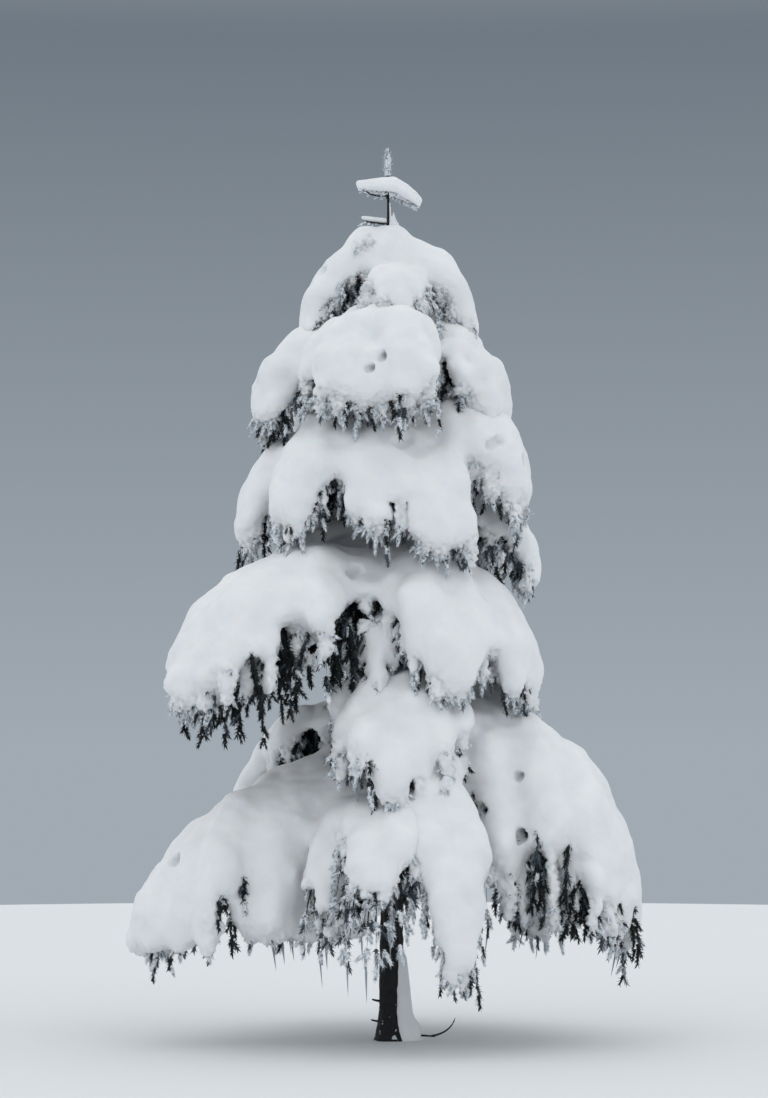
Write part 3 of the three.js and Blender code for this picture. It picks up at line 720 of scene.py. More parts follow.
def settled_snow():
    """Settled snow, heaped by snowfall: the eye sees a matt white with soft blue-grey shade."""
    material, tree, shader, where = new_material(
        "settled snow", Roughness=0.8, IOR=ICE_IOR, Subsurface_Weight=0.35,
        Subsurface_Radius=(0.6, 0.8, 1.0), Subsurface_Scale=0.02)
    patches = add(tree, "ShaderNodeTexNoise", {"Scale": PER_MM / PATCH_WIDTH, "Detail": 3}, {"Vector": where})
    tint = add(tree, "ShaderNodeValToRGB", links={"Fac": patches.outputs["Fac"]},
               stops=[(0.3, "#EAECEE"), (0.7, "#F4F5F6")])
    grain = add(tree, "ShaderNodeTexNoise", {"Scale": PER_MM / GRAIN_WIDTH, "Detail": 2}, {"Vector": where})
    crust = add(tree, "ShaderNodeTexNoise", {"Scale": PER_MM / CRUST_WIDTH, "Detail": 3}, {"Vector": where})
    fine = add(tree, "ShaderNodeBump", {"Strength": 0.25, "Distance": 0.002},
               {"Height": grain.outputs["Fac"]})
    coarse = add(tree, "ShaderNodeBump", {"Strength": 0.3, "Distance": 0.006},
                 {"Height": crust.outputs["Fac"], "Normal": fine.outputs["Normal"]})
    tree.links.new(tint.outputs["Color"], shader.inputs["Base Color"])
    tree.links.new(coarse.outputs["Normal"], shader.inputs["Normal"])
    return material


SNOW = settled_snow()
print("made", SNOW.name)

# %% [markdown]
# Now the pads. A pad lies on its twigs as a sheet with a thick, rounded rim, so it is laid with many more
# ribs than there are twigs, close together and very soft, and no single rib shows. Its middle runs above the
# wood, so that the twigs lie in its underside.

# %% Lay the pads
SEAT = 0.01  # the wood lies this far below the snow's underside
RIBS_PER_MAIN = 8
PAD_SOFTNESS = 0.12  # as a share of the snow's depth
SPINE_STATIONS = np.linspace(0.05, 1.0, 8)
SPINE_LIFT = 0.38  # this and the radii below are shares of the snow's depth
SPINE_RADII = ([0, 0.2, 0.8, 1], [0.24, 0.34, 0.33, 0.27])
RIB_STATIONS = np.linspace(0.0, 1.0, 6)
RIB_LIFTS = (0.35, 0.28)
RIB_RADII = ([0, 0.6, 1], [0.26, 0.26, 0.22])
RIM_WAVER = (-0.2, 0.0)  # how much less of the twigs is covered, here and there along a rim


def above(limb, t):
    return np.cross(heading(limb, t), limb["side"])


def load_spine(field, b):
    axis = bough_arc(b)
    t = SPINE_STATIONS
    lift = bough_radius(b, t) + SEAT + SPINE_LIFT * b.snow
    points = along(axis, t) + above(axis, t) * lift[:, None]
    field.chain(points, b.snow * np.interp(t, *SPINE_RADII), PAD_SOFTNESS * b.snow)


def load_rib(field, b, limb, t, cover):
    s = RIB_STATIONS * min(cover, 1)
    normal = unit(above(limb, s) + above(bough_arc(b), t) * (1 - RIB_STATIONS)[:, None])
    lift = b.snow * blend(*RIB_LIFTS, RIB_STATIONS) + bough_radius(b, t) * (1 - s) + SEAT
    points = along(limb, s) + normal * lift[:, None]
    field.chain(points, b.snow * np.interp(RIB_STATIONS, *RIB_RADII), PAD_SOFTNESS * b.snow)


def load_bough(field, b, rng):
    load_spine(field, b)
    count = RIBS_PER_MAIN * b.pairs
    for side in (-1, 1):
        waver = rng.uniform(*RIM_WAVER, 3 * b.pairs + 2)
        for t in np.linspace(0.08, 0.99, count):
            limb = side_limb(b, t, side, outline_share(b, t, side))
            less = np.interp(t, np.linspace(0, 1, len(waver)), waver)
            load_rib(field, b, limb, t, covered(b, t) + less)
    for turn in np.linspace(TIP_TURNS[0], TIP_TURNS[-1], 5):
        load_rib(field, b, tip_limb(b, turn), 1.0, covered(b, 1.0) * rng.uniform(0.85, 1.0))


print("ribs under the largest pad:", 2 * RIBS_PER_MAIN * max(b.pairs for b in WHORLS[0].boughs))

# %% [markdown]
# At the rim each real twig carries a blunt finger of snow out of the sheet, and some branchlets get thin
# sleeves. These are thin and crisp, so that they stay apart. A heap round the trunk joins the pads of a
# whorl, as the snow does that slides down between the boughs.

# %% Fingers, sleeves and the heap round the trunk
FINGER_SOFTNESS = 0.05
FINGER_STATIONS = np.linspace(0.0, 1.0, 4)
FINGER_RADII = np.array([0.14, 0.18, 0.2, 0.17])  # shares of the snow's depth
FINGER_START = 0.3  # this much of a twig before the snow's end
FINGER_END = 1.03  # as a share of the twig
SLEEVE_STATIONS = np.linspace(0.0, 0.85, 3)
SLEEVE_RADII, SLEEVE_LIFT, SLEEVE_SOFTNESS = np.array([0.028, 0.023, 0.013]), 0.008, 0.006
BARE_SHARE = 0.4  # of the rim's branchlets, those without a sleeve of snow
HEAP_TAPER, HEAP_SOFTNESS = (0.75, 0.6), 0.03
FIELD_MARGIN = 0.3


def load_finger(field, twig, rng):
    b = twig.bough
    cover = covered(b, twig.t)
    end = min(cover + rng.uniform(-0.04, 0.14), FINGER_END)
    s = blend(cover - FINGER_START, end, FINGER_STATIONS)
    radii = max(b.snow, 0.1) * FINGER_RADII * rng.uniform(0.75, 1.25, len(FINGER_RADII))
    points = along(twig.limb, s) + above(twig.limb, s) * (0.7 * radii + SEAT)[:, None]
    field.chain(points, radii, FINGER_SOFTNESS * b.snow, True)


def load_branchlet(field, branchlet, rng):
    if not branchlet.rim or rng.uniform() < BARE_SHARE:
        return
    points = along(branchlet.limb, SLEEVE_STATIONS) + UP * SLEEVE_LIFT
    field.chain(points, SLEEVE_RADII * rng.uniform(0.7, 1.3), SLEEVE_SOFTNESS, True)


def whorl_box(level_twigs):
    ends = np.array([point for twig in level_twigs for point in twig.limb["points"]])
    return ends.min(0) - FIELD_MARGIN, ends.max(0) + FIELD_MARGIN


def snow_field(whorl, level_twigs, level_branchlets, cell, seed):
    rng = np.random.default_rng(seed)
    low, high = whorl_box(level_twigs)
    hub = trunk_middle(whorl.hub_height)
    low = np.minimum(low, hub - whorl.hub_radius - whorl.hub_depth)
    field = SnowField(low, np.maximum(high, hub + whorl.hub_radius + whorl.hub_depth), cell)
    rise = UP * max(whorl.hub_depth - 0.8 * whorl.hub_radius, 0.01)
    heap = np.array([hub - rise, hub + rise])
    field.chain(heap, [taper * whorl.hub_radius for taper in HEAP_TAPER], HEAP_SOFTNESS)
    for b in whorl.boughs:
        load_bough(field, b, rng)
    for twig in level_twigs:
        load_finger(field, twig, rng)
    for branchlet in level_branchlets:
        load_branchlet(field, branchlet, rng)
    return field


print("crisp chains of the lowest whorl:", len(twigs[0]), "fingers and up to",
      sum(branchlet.rim for branchlet in branchlets[0]), "sleeves")

# %% [markdown]
# The field is roughened before it becomes a mesh, because noise in the field can part and join lobes, which
# a displaced mesh can't. Long waves lobe the pads, and the shortest only breaks up the rim. On the domes the
# field is evened first, so that no rib prints through. Crumbs stand out where rime has grown.

# %% Roughen the snow and mesh it
# Each noise is a wavelength and a height. The first makes the lobes of a pad, and RIM_NOISE only its rim.
PAD_NOISES = [(0.24, 0.038), (0.1, 0.017), (0.045, 0.005)]
RIM_NOISE = (0.032, 0.014)
NOISE_LIFT = 0.25  # raises the noise, so that no pad wears through where it is thin
EVENING_ROUNDS = 5  # the faces of a pad settle smooth over the twigs, about three grid steps wide
EVENING_GAIN = 0.35  # gives back what thin places lose by it
CRUMB = 0.015  # how far crumbs of rimed snow stand out at the rim and on the underside
NOISE_SOFTNESS = 0.02  # how fast the field changes with distance, to turn a height into a share


def evened(value):
    """The numbers averaged with their neighbours, a few times over."""
    for _ in range(EVENING_ROUNDS):
        for axis in range(3):
            value = (np.roll(value, 1, axis) + 2 * value + np.roll(value, -1, axis)) / 4
    return value


def snow_mesh(field, seed, strength, least=LEAST_ISLAND):
    shape = field.total.shape
    value = np.log(np.maximum(field.total, NO_SNOW))
    rim = field.crisp / np.maximum(field.total, NO_SNOW)
    value = blend(evened(value) + EVENING_GAIN, value, np.clip(2 * rim + 1 - strength, 0, 1)) - field.pits
    for number, (wavelength, height) in enumerate(PAD_NOISES):
        height *= strength / NOISE_SOFTNESS
        value += (lattice_noise(shape, field.cell, wavelength, seed + number) + NOISE_LIFT) * height
    rim_height = strength * RIM_NOISE[1] / NOISE_SOFTNESS
    value += lattice_noise(shape, field.cell, RIM_NOISE[0], seed + 9) * rim * rim_height
    points, faces = surface_net(value, field.low, field.cell)
    points, faces = without_islands(points, faces, least)
    points = smoothed(points, faces)
    normals = point_normals(points, faces)
    crust = np.clip(1.5 * field.rim_share(points) + 0.8 * np.clip(-normals[:, 2], 0, 1), 0, 1)
    crumbs = np.random.default_rng(seed).uniform(-0.6, 1, len(points)) * CRUMB * strength
    return points + normals * (crust * crumbs)[:, None], faces


print("noises:", [f"{round(1000 * wavelength)} mm wide" for wavelength, _ in [*PAD_NOISES, RIM_NOISE]])

# %% [markdown]
# Here and there a twig's tip has broken through the snow, or a clot from above has fallen in. Such pits are
# known by their places in the picture, so each is dug where the camera's line meets the snow first.

# %% Pits in the snow
PIT_SOFTNESS = 0.006
PIT_DEPTH = 0.028
PIT_SLANT = (1.5, 0, 1)  # half the pit's length and rise, in radii
LINE_DEPTHS = np.arange(-1.4, 0.6, 0.01)
SURE_DEPTH = 0.3  # in softnesses
# Right of the trunk, height, radius and whorl.
PITS = [
    (-0.391, 4.213, 0.014, 6), (-0.1, 3.683, 0.013, 5), (-0.026, 3.748, 0.013, 5),
    (0.060, 3.267, 0.018, 4), (0.561, 3.255, 0.018, 4), (0.693, 3.145, 0.018, 4), (-0.22, 2.53, 0.018, 3),
    (-1.145, 0.978, 0.018, 1), (-1.205, 0.896, 0.014, 1),
    (0.49, 1.242, 0.025, 2), (0.71, 1.11, 0.025, 2), (0.737, 1.446, 0.018, 2),
]


def sight_line(x, z, y):
    """The points at depths y on the camera's line through a place beside the trunk."""
    eye, place = np.array(EYE), np.array([x, 0.0, z])
    return eye + (place - eye) * ((y - eye[1]) / (place[1] - eye[1]))[:, None]


def dig_pit(field, x, z, radius):
    """A pit into the snow that the camera sees first at this place."""
    line = sight_line(x, z, LINE_DEPTHS)
    hits = np.flatnonzero(field.depth(line) > SURE_DEPTH)
    if len(hits):
        mouth = line[hits[0]]
        slant = np.array(PIT_SLANT) * radius
        field.dig(mouth - slant - (0, radius, 0), mouth + slant + (0, PIT_DEPTH, 0), radius, PIT_SOFTNESS)


print("pits:", len(PITS))

# %% [markdown]
# Each whorl's snow is one mesh. Some points of its rim are kept for later, as roots of rimed tufts that break
# through the snow there.

# %% Load each whorl with snow
# The grid's pitch for each whorl: about three pixels of the picture, and two in the small ones at the top.
CELLS = [0.0165, 0.0165, 0.0165, 0.0155, 0.0125, 0.0105]
LOBE_STRENGTHS = [1, 1, 1, 1.2, 1.3, 1.3]  # the small pads near the top are more deeply lobed
TUFTS = 380  # for each whorl
fields, tufts = [], []
for number, whorl in enumerate(WHORLS, 1):
    field = snow_field(whorl, twigs[number - 1], branchlets[number - 1], CELLS[number - 1], number)
    for x, z, radius, level in PITS:
        if level == number:
            dig_pit(field, x, z, radius)
    fields.append(field)
    points, faces = snow_mesh(field, 10 * number, LOBE_STRENGTHS[number - 1])
    normals = point_normals(points, faces)
    at_rim = np.flatnonzero((field.rim_share(points) > 0.35) & (normals[:, 2] < 0.35))
    chosen = np.random.default_rng(number).choice(at_rim, TUFTS, replace=False)
    tufts.append((points[chosen], normals[chosen]))
    make_piece(f"settled_snow_{number}", points, faces, SNOW, "snow", [f"snow_whorl_{number}"])

# %% [markdown]
# The snow on the leader is built by the same field, on a finer grid and with hardly any noise. It is a tilted
# cap, thick in the middle and sharp-edged, that rides on four short twigs.

# %% The cap on the leader
TOP_CELL = 0.006
TOP_ISLAND = 40
CAP_BOX = ((-0.27, -0.17, 4.52), (0.24, 0.17, 4.84))
# The cap along its length: right of the trunk's middle, the height of its middle, half thickness, half width.
CAP_RIBS = [(-178, 4712, 13, 30), (-120, 4706, 26, 62), (-50, 4703, 38, 88), (10, 4701, 44, 92),
            (70, 4672, 38, 80), (120, 4640, 29, 58), (148, 4617, 21, 34)]
CAP_LANES = np.linspace(-1, 1, 7)
CAP_SAG = 0.03  # how far its long edges hang below its middle
CAP_THINNING = 0.45  # how much thinner the long edges are
cap_field = SnowField(*CAP_BOX, TOP_CELL)
for lane in CAP_LANES:
    ribs = [(x, half * lane, z - 1000 * CAP_SAG * lane**2) for x, z, _, half in CAP_RIBS]
    radii = [thick * MM * (1 - CAP_THINNING * lane**2) for _, _, thick, _ in CAP_RIBS]
    cap_field.chain(np.array(ribs) * MM, radii, 0.005)
points, faces = snow_mesh(cap_field, 80, 0.15, TOP_ISLAND)
make_piece("settled_snow_cap", points, faces, SNOW, "snow", ["snow_cap"])

# %% [markdown]
# Below the cap are a ledge on a side twig and a drop of snow that rests on the topmost heap, and some snow
# sticks to the right of the bare stem. At the foot the wind has plastered a drift against the trunk's right
# side. All of them are chains of balls beside the trunk.

# %% Collar and foot drift
FOOT_CELL = 0.009
COLLAR_BOX = ((-0.24, -0.12, 4.33), (0.14, 0.12, 4.68))
FOOT_BOX = ((-0.15, -0.2, -0.03), (0.3, 0.2, 0.7))
BALL_SHARE = 0.9  # the rest of the radius is the field's softness
# Each ball's height, its radius, and how far right of the trunk its middle lies.
FOOT_DRIFT = [(0, 88, 88), (44, 85, 80), (110, 68, 58), (240, 58, 47), (434, 54, 34), (490, 40, 15)]
DROP = [(4392, 30, 38), (4436, 44, 36), (4470, 32, 32), (4508, 14, 30), (4545, 5, 29)]
STEM_SNOW = [(4470, 9, 10), (4530, 8, 9), (4600, 8, 8)]
LEDGE_STATIONS, LEDGE_RADII, LEDGE_LIFT = np.linspace(0.1, 1.0, 4), [0.014, 0.013, 0.013, 0.009], 0.02


def ball_chain(field, rings, soft):
    points = [trunk_middle(height * MM) + np.array([middle * MM, 0, 0]) for height, _, middle in rings]
    field.chain(np.array(points), [BALL_SHARE * radius * MM for _, radius, _ in rings], soft)


collar_field = SnowField(*COLLAR_BOX, TOP_CELL)
ball_chain(collar_field, DROP, 0.004)
ball_chain(collar_field, STEM_SNOW, 0.002)
collar_field.chain(along(bough_arc(LEDGE), LEDGE_STATIONS) + UP * LEDGE_LIFT, LEDGE_RADII, 0.003)
points, faces = snow_mesh(collar_field, 90, 0.12, TOP_ISLAND)
make_piece("settled_snow_collar", points, faces, SNOW, "snow", ["snow_collar"])

foot_field = SnowField(*FOOT_BOX, FOOT_CELL)
ball_chain(foot_field, FOOT_DRIFT, 0.008)
points, faces = snow_mesh(foot_field, 100, 0.35, TOP_ISLAND)
points[:, 2] = np.maximum(points[:, 2], 0)
make_piece("settled_snow_foot", points, faces, SNOW, "snow", ["snow_foot"])

# %% [markdown]
# A shoot is a stem about a finger long, set all round with needles. Each needle here is one slim face, a
# little wider than life so that it still shows at this size. A few shoots are modelled and then set
# thousands of times, turned, scaled and bent by gravity, and joined into one mesh for each kind and whorl.
# On rimed shoots the frost has grown into a crust: blunt, as thick as two fingers, with needle tips in it.

# %% Model the shoots
GOLDEN_ANGLE = math.radians(137.5)
SHOOT_LENGTH = 0.055
CORE_SIDES = 5
LEAN_AT_ROOT, LEAN_AT_TIP = 72, 20  # degrees between a needle and the stem
SHOOT_MODELS = 6
# How many needles, their length and width, and the core's radius and rings.
GREEN, RIMED = (20, 0.024, 0.011, 0.009, 1), (28, 0.018, 0.0075, 0.011, 3)


def shoot_core(rng, radius, rings):
    """The points and faces of a core, where the needles crowd: rings along +Z that close towards the tip."""
    points, faces = [], []
    for ring in range(rings + 1):
        share = ring / rings
        mean = radius * (1 - 0.8 * share**4) * rng.uniform(0.8, 1.2)
        for k in range(CORE_SIDES):
            angle = 2 * math.pi * k / CORE_SIDES + ring * 0.6
            uneven = mean * rng.uniform(0.75, 1.25)
            points.append((uneven * math.cos(angle), uneven * math.sin(angle), SHOOT_LENGTH * share))
    for ring in range(rings):
        for k in range(CORE_SIDES):
            a, b = ring * CORE_SIDES + k, ring * CORE_SIDES + (k + 1) % CORE_SIDES
            faces += [(a, b, b + CORE_SIDES), (a, b + CORE_SIDES, a + CORE_SIDES)]
    return points, faces


def modelled_shoot(rng, needles, needle_length, needle_width, core_radius, core_rings):
    """One shoot along +Z from the origin: a core, and needles that stand out of it."""
    points, faces = shoot_core(rng, core_radius, core_rings)
    for number in range(needles):
        share = (number + rng.uniform(0, 0.6)) / needles
        angle = number * GOLDEN_ANGLE + rng.uniform(-0.3, 0.3)
        lean = math.radians(blend(LEAN_AT_ROOT, LEAN_AT_TIP, share**2) + rng.uniform(-14, 14))
        length = needle_length * rng.uniform(0.75, 1.15)
        radial = np.array([math.cos(angle), math.sin(angle), 0])
        across = np.array([-math.sin(angle), math.cos(angle), 0])
        foot = UP * SHOOT_LENGTH * share + radial * core_radius * 0.6 * (1 - 0.7 * share**3)
        tip = foot + length * (radial * math.sin(lean) + UP * math.cos(lean))
        first = len(points)
        points += [foot - across * needle_width / 2, foot + across * needle_width / 2, tip]
        faces.append((first, first + 1, first + 2))
    return np.array(points), np.array(faces)


rng = np.random.default_rng(21)
GREEN_SHOOTS = [modelled_shoot(rng, *GREEN) for _ in range(SHOOT_MODELS)]
RIMED_SHOOTS = [modelled_shoot(rng, *RIMED) for _ in range(SHOOT_MODELS)]
print("faces of a shoot:", len(GREEN_SHOOTS[0][1]), "green,", len(RIMED_SHOOTS[0][1]), "rimed")

# %% [markdown]
# Shoots sit in a row along each branchlet and a few stand aside. Those at the rim are short and crowd at the
# branchlet's end. In the shade they hang in longer rows.

# %% Find places for the shoots
SHOOT_STEP = 0.046
# Shares of a branchlet where a shoot stands aside: at the rim, inside, and on branchlets longer than LONG.
ASIDE_AT_RIM, ASIDE_INSIDE, ASIDE_ON_LONG = [0.5], [0.3], [0.15, 0.4, 0.65, 0.78, 0.9, 0.96]
LONG = 0.24
# The share of shoots that is rimed, by whether they are at the rim, and in the open air. Beside the frosted
# ones, the rest get the near-black needles, whose colour is painted shade.
RIMED_SHARE = {(True, True): 0.84, (True, False): 0.5, (False, True): 0.36, (False, False): 0.03}


def even_shares(limb, spacing):
    """Shares along an arc that are equally far apart."""
    t = np.linspace(0, 1, 9)
    steps = np.linalg.norm(np.diff(along(limb, t), axis=0), axis=1)
    gone = np.concatenate([[0], np.cumsum(steps)])
    return np.interp(np.arange(0, gone[-1], spacing), gone, t)


def shoot_places(level_branchlets, rng):
    """Where shoots leave the branchlets: roots, headings, lengths, and the share of them that is rimed."""
    roots, headings, sizes, rimed = [], [], [], []
    for limb, length, rim, open_air in level_branchlets:
        in_line = even_shares(limb, SHOOT_STEP)
        aside = ASIDE_AT_RIM if rim else [*ASIDE_INSIDE, rng.uniform(0.5, 0.8)]
        if length > LONG:
            aside = aside + ASIDE_ON_LONG
        for s in [*in_line, *aside]:
            towards = heading(limb, min(s + 0.2, 1))
            if s in aside:
                sideways = limb["side"] * rng.choice([-1, 1]) * rng.uniform(0.5, 1.0)
                towards = unit(towards + sideways - UP * rng.uniform(0.1, 0.5))
            roots.append(along(limb, s))
            headings.append(unit(towards + rng.uniform(-0.35, 0.35, 3)))
            sizes.append(rng.uniform(0.85, 1.3) if rim else rng.uniform(0.85, 1.25))
            rimed.append(RIMED_SHARE[rim, open_air])
    return np.array(roots), np.array(headings), np.array(sizes), np.array(rimed)


print("places on the lowest whorl:", len(shoot_places(branchlets[0], np.random.default_rng(0))[0]))

# %% [markdown]
# A few shoots are modelled and thousands are set, so they are copied as arrays: each copy gets a basis of
# three directions, the third along its heading, and a random turn about it. What points sideways bends down.

# %% Set copies of the shoots
SHOOT_BEND = 0.25  # of its length, for a level shoot


def set_shoots(models, roots, headings, sizes, rng):
    """Copies of the models at many places, joined into one list of points and triangles."""
    reference = np.where(np.abs(headings[:, 2:3]) < 0.9, UP, np.array([1.0, 0, 0]))
    first = unit(np.cross(headings, reference))
    second = np.cross(headings, first)
    turn = rng.uniform(0, 2 * math.pi, len(roots))[:, None]
    across = first * np.cos(turn) + second * np.sin(turn)
    facing = second * np.cos(turn) - first * np.sin(turn)
    choice = rng.integers(0, len(models), len(roots))
    all_points, all_faces, count = [], [], 0
    for kind, (model_points, model_faces) in enumerate(models):
        mine = choice == kind
        basis = np.stack([across[mine], facing[mine], headings[mine]], 1) * sizes[mine][:, None, None]
        points = np.einsum("mj,njk->nmk", model_points, basis) + roots[mine][:, None, :]
        share = model_points[:, 2] / SHOOT_LENGTH
        level = 1 - np.abs(headings[mine][:, 2])
        points[:, :, 2] -= SHOOT_BEND * SHOOT_LENGTH * level[:, None] * sizes[mine][:, None] * share**2
        faces = model_faces[None] + (count + len(model_points) * np.arange(len(points)))[:, None, None]
        count += points.shape[0] * points.shape[1]
        all_points.append(points.reshape(-1, 3))
        all_faces.append(faces.reshape(-1, 3))
    return np.concatenate(all_points), np.concatenate(all_faces)


print("models to copy:", len(GREEN_SHOOTS) + len(RIMED_SHOOTS))

# %% [markdown]
# Needles of this spruce are four-sided and waxy, dark green with a blue bloom. In flat winter light, in the
# shade of the snow, they look almost black, and the darkest needles are given that near-black as their colour:
# painted shade, for the shade under the pads. Rime is frost that fog has frozen on: chalky, pale grey-blue and
# uneven. Between the two are shoots with only a breath of frost. Colours are plain and dealt out by shoot.

# %% Needles and rime
MOTTLE_WIDTH, RIME_WIDTH = 60, 16  # millimetres


def waxy_needles(name, hex_code, roughness):
    """Waxy needles: the eye sees a dark blue-green, with a faint gloss along each. A near-black colour here is
    painted shade.
    """
    material, tree, shader, where = new_material(name, Roughness=roughness, IOR=1.45)
    mottle = add(tree, "ShaderNodeTexNoise", {"Scale": PER_MM / MOTTLE_WIDTH, "Detail": 2}, {"Vector": where})
    shade = add(tree, "ShaderNodeMapRange", {"To Min": 0.65, "To Max": 1.35},
                {"Value": mottle.outputs["Fac"]})
    colour = add(tree, "ShaderNodeHueSaturation", {"Color": linear(hex_code)},
                 {"Value": shade.outputs["Result"]})
    tree.links.new(colour.outputs["Color"], shader.inputs["Base Color"])
    return material


def hoar_rime():
    """Rime, frozen out of fog: the eye sees a chalky pale grey, never as white as the snow."""
    material, tree, shader, where = new_material("rime", Roughness=0.85, IOR=ICE_IOR)
    mottle = add(tree, "ShaderNodeTexNoise", {"Scale": PER_MM / RIME_WIDTH, "Detail": 3}, {"Vector": where})
    tint = add(tree, "ShaderNodeValToRGB", links={"Fac": mottle.outputs["Fac"]},
               stops=[(0.3, "#3E4951"), (0.54, "#EDF0F3"), (0.4, "#B7C0C7")])
    tree.links.new(tint.outputs["Color"], shader.inputs["Base Color"])
    return material


# The near-black colour of these needles is painted shade: it stands for the deep shade under the pads, darker
# than the lamps make it.
SHADE_PAINTED_NEEDLES = waxy_needles("dark spruce needles", "#10181A", 0.6)
FROSTED_NEEDLES = waxy_needles("frosted spruce needles", "#4C5760", 0.75)
RIME = hoar_rime()
print("made", [material.name for material in (SHADE_PAINTED_NEEDLES, FROSTED_NEEDLES, RIME)])

# %% [markdown]
# Each whorl gets its shoots in three kinds. Deep inside the snow nobody can see them, so they are left out
# there. What hangs free of the rim is mostly rimed, and what hangs in shade mostly gets the near-black needles,
# whose colour is painted shade.

# %% Dress each whorl with shoots
DEEP = 2.0  # shoots whose middle lies deeper in the snow than this can't be seen
FROSTED_SHARE = 0.16  # of the shoots, beside those that are rimed
KINDS = [("rimed", RIMED_SHOOTS, RIME), ("frosted", GREEN_SHOOTS, FROSTED_NEEDLES),
         ("dark", GREEN_SHOOTS, SHADE_PAINTED_NEEDLES)]
LOWEST_TIP = 0.03
TUFT_DROOP, TUFT_ROOT = 0.7, 0.014  # how much tufts hang, and how deep their roots lie in the snow
for number in range(1, len(WHORLS) + 1):
    rng = np.random.default_rng(300 + number)
    roots, headings, sizes, rimed = shoot_places(branchlets[number - 1], rng)
    middles = roots + headings * (0.5 * SHOOT_LENGTH * sizes)[:, None]
    tips = roots + headings * (SHOOT_LENGTH * sizes)[:, None]
    shown = np.full(len(roots), True)
    for field in fields:
        shown &= (field.depth(middles) < DEEP) | (field.depth(tips) < 0)
    shown &= tips[:, 2] > LOWEST_TIP
    draw = rng.uniform(size=len(roots))
    kind = (draw >= rimed).astype(int) + (draw >= rimed + FROSTED_SHARE)
    tuft_roots, tuft_normals = tufts[number - 1]
    tuft_headings = unit(tuft_normals - TUFT_DROOP * UP + rng.uniform(-0.4, 0.4, tuft_roots.shape))
    roots = np.concatenate([roots, tuft_roots - TUFT_ROOT * tuft_normals])
    headings = np.concatenate([headings, tuft_headings])
    sizes = np.concatenate([sizes, rng.uniform(0.6, 1.15, TUFTS)])
    kind = np.concatenate([kind, np.zeros(TUFTS, int)])
    shown = np.concatenate([shown, np.full(TUFTS, True)])
    nodes = [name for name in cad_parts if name.startswith(f"needles_{number}_")]
    for place, (name, models, material) in enumerate(KINDS):
        mine = shown & (kind == place)
        points, faces = set_shoots(models, roots[mine], headings[mine], sizes[mine], rng)
        make_piece(f"{name}_shoots_{number}", points, faces, material, "needles", nodes, smooth=False)

# %% [markdown]
# The leader is a rimed brush that stands out of the cap. Under the cap the four short twigs end in rimed
# shoots, whose tips make a rough edge below the snow. The ledge's twig is rimed the same way.

# %% Dress the leader
LEADER_FOOT = 4.752
LEADER_SHOOTS = [(0, 1.6), (0.02, 1.6), (0.04, 1.6), (0.055, 1.5), (0.07, 1.3)]  # heights, sizes
UNDER_CAP = 34  # shoots under the cap
CAP_ROWS = [-0.8, -0.5, 0.2, 0.7]  # where across the cap they stand, in half widths
CAP_MIDDLE = -10  # shoots right of this lean right, the others left
LEDGE_SHOOTS, LEDGE_DROP = (0.05, 0.3, 0.55, 0.75), 0.006
rng = np.random.default_rng(41)
roots, headings, sizes = [], [], []
for step, size in LEADER_SHOOTS:
    roots.append([trunk_middle(TREE_HEIGHT)[0], 0, LEADER_FOOT + step])
    headings.append([rng.uniform(-0.05, 0.05), rng.uniform(-0.05, 0.05), 1])
    sizes.append(size)
for place in range(UNDER_CAP):
    x, z, thick, half = [np.interp(place / (UNDER_CAP - 1), np.linspace(0, 1, len(CAP_RIBS)), column)
                         for column in np.array(CAP_RIBS, float).T]
    y = half * rng.choice(CAP_ROWS)
    roots.append([0.8 * x * MM, y * MM, (z - thick - 1000 * CAP_SAG * (y / half) ** 2) * MM])
    headings.append([np.sign(x - CAP_MIDDLE), y / half, -0.35])
    sizes.append(rng.uniform(0.5, 0.75))
for s in LEDGE_SHOOTS:
    roots.append(along(bough_arc(LEDGE), s) - UP * LEDGE_DROP)
    headings.append([-1, rng.uniform(-0.3, 0.3), -0.25])
    sizes.append(0.75)
roots, headings, sizes = np.array(roots, float), unit(np.array(headings, float)), np.array(sizes)
points, faces = set_shoots(RIMED_SHOOTS, roots, headings, sizes, rng)
make_piece("rimed_leader", points, faces, RIME, "needles", ["needles_leader"], smooth=False)

# %% [markdown]
# The wood comes last, because little of it shows: the foot of the trunk, and glimpses inside the boughs. The
# bark of a young spruce is thin and breaks into scales the size of a fingernail. Their colours come from a
# pattern of cells, and snow that the wind has blown on sticks between them, more of it lower down.

# %% Bark of the trunk and the twigs
PLATE_WIDTH, CAUGHT_WIDTH, TWIG_MOTTLE_WIDTH = 13, 30, 20  # millimetres
CAUGHT_FADING = -0.25  # how fast the caught snow gets less, for each metre of height
CAUGHT_EDGE = (0.64, 0.66)


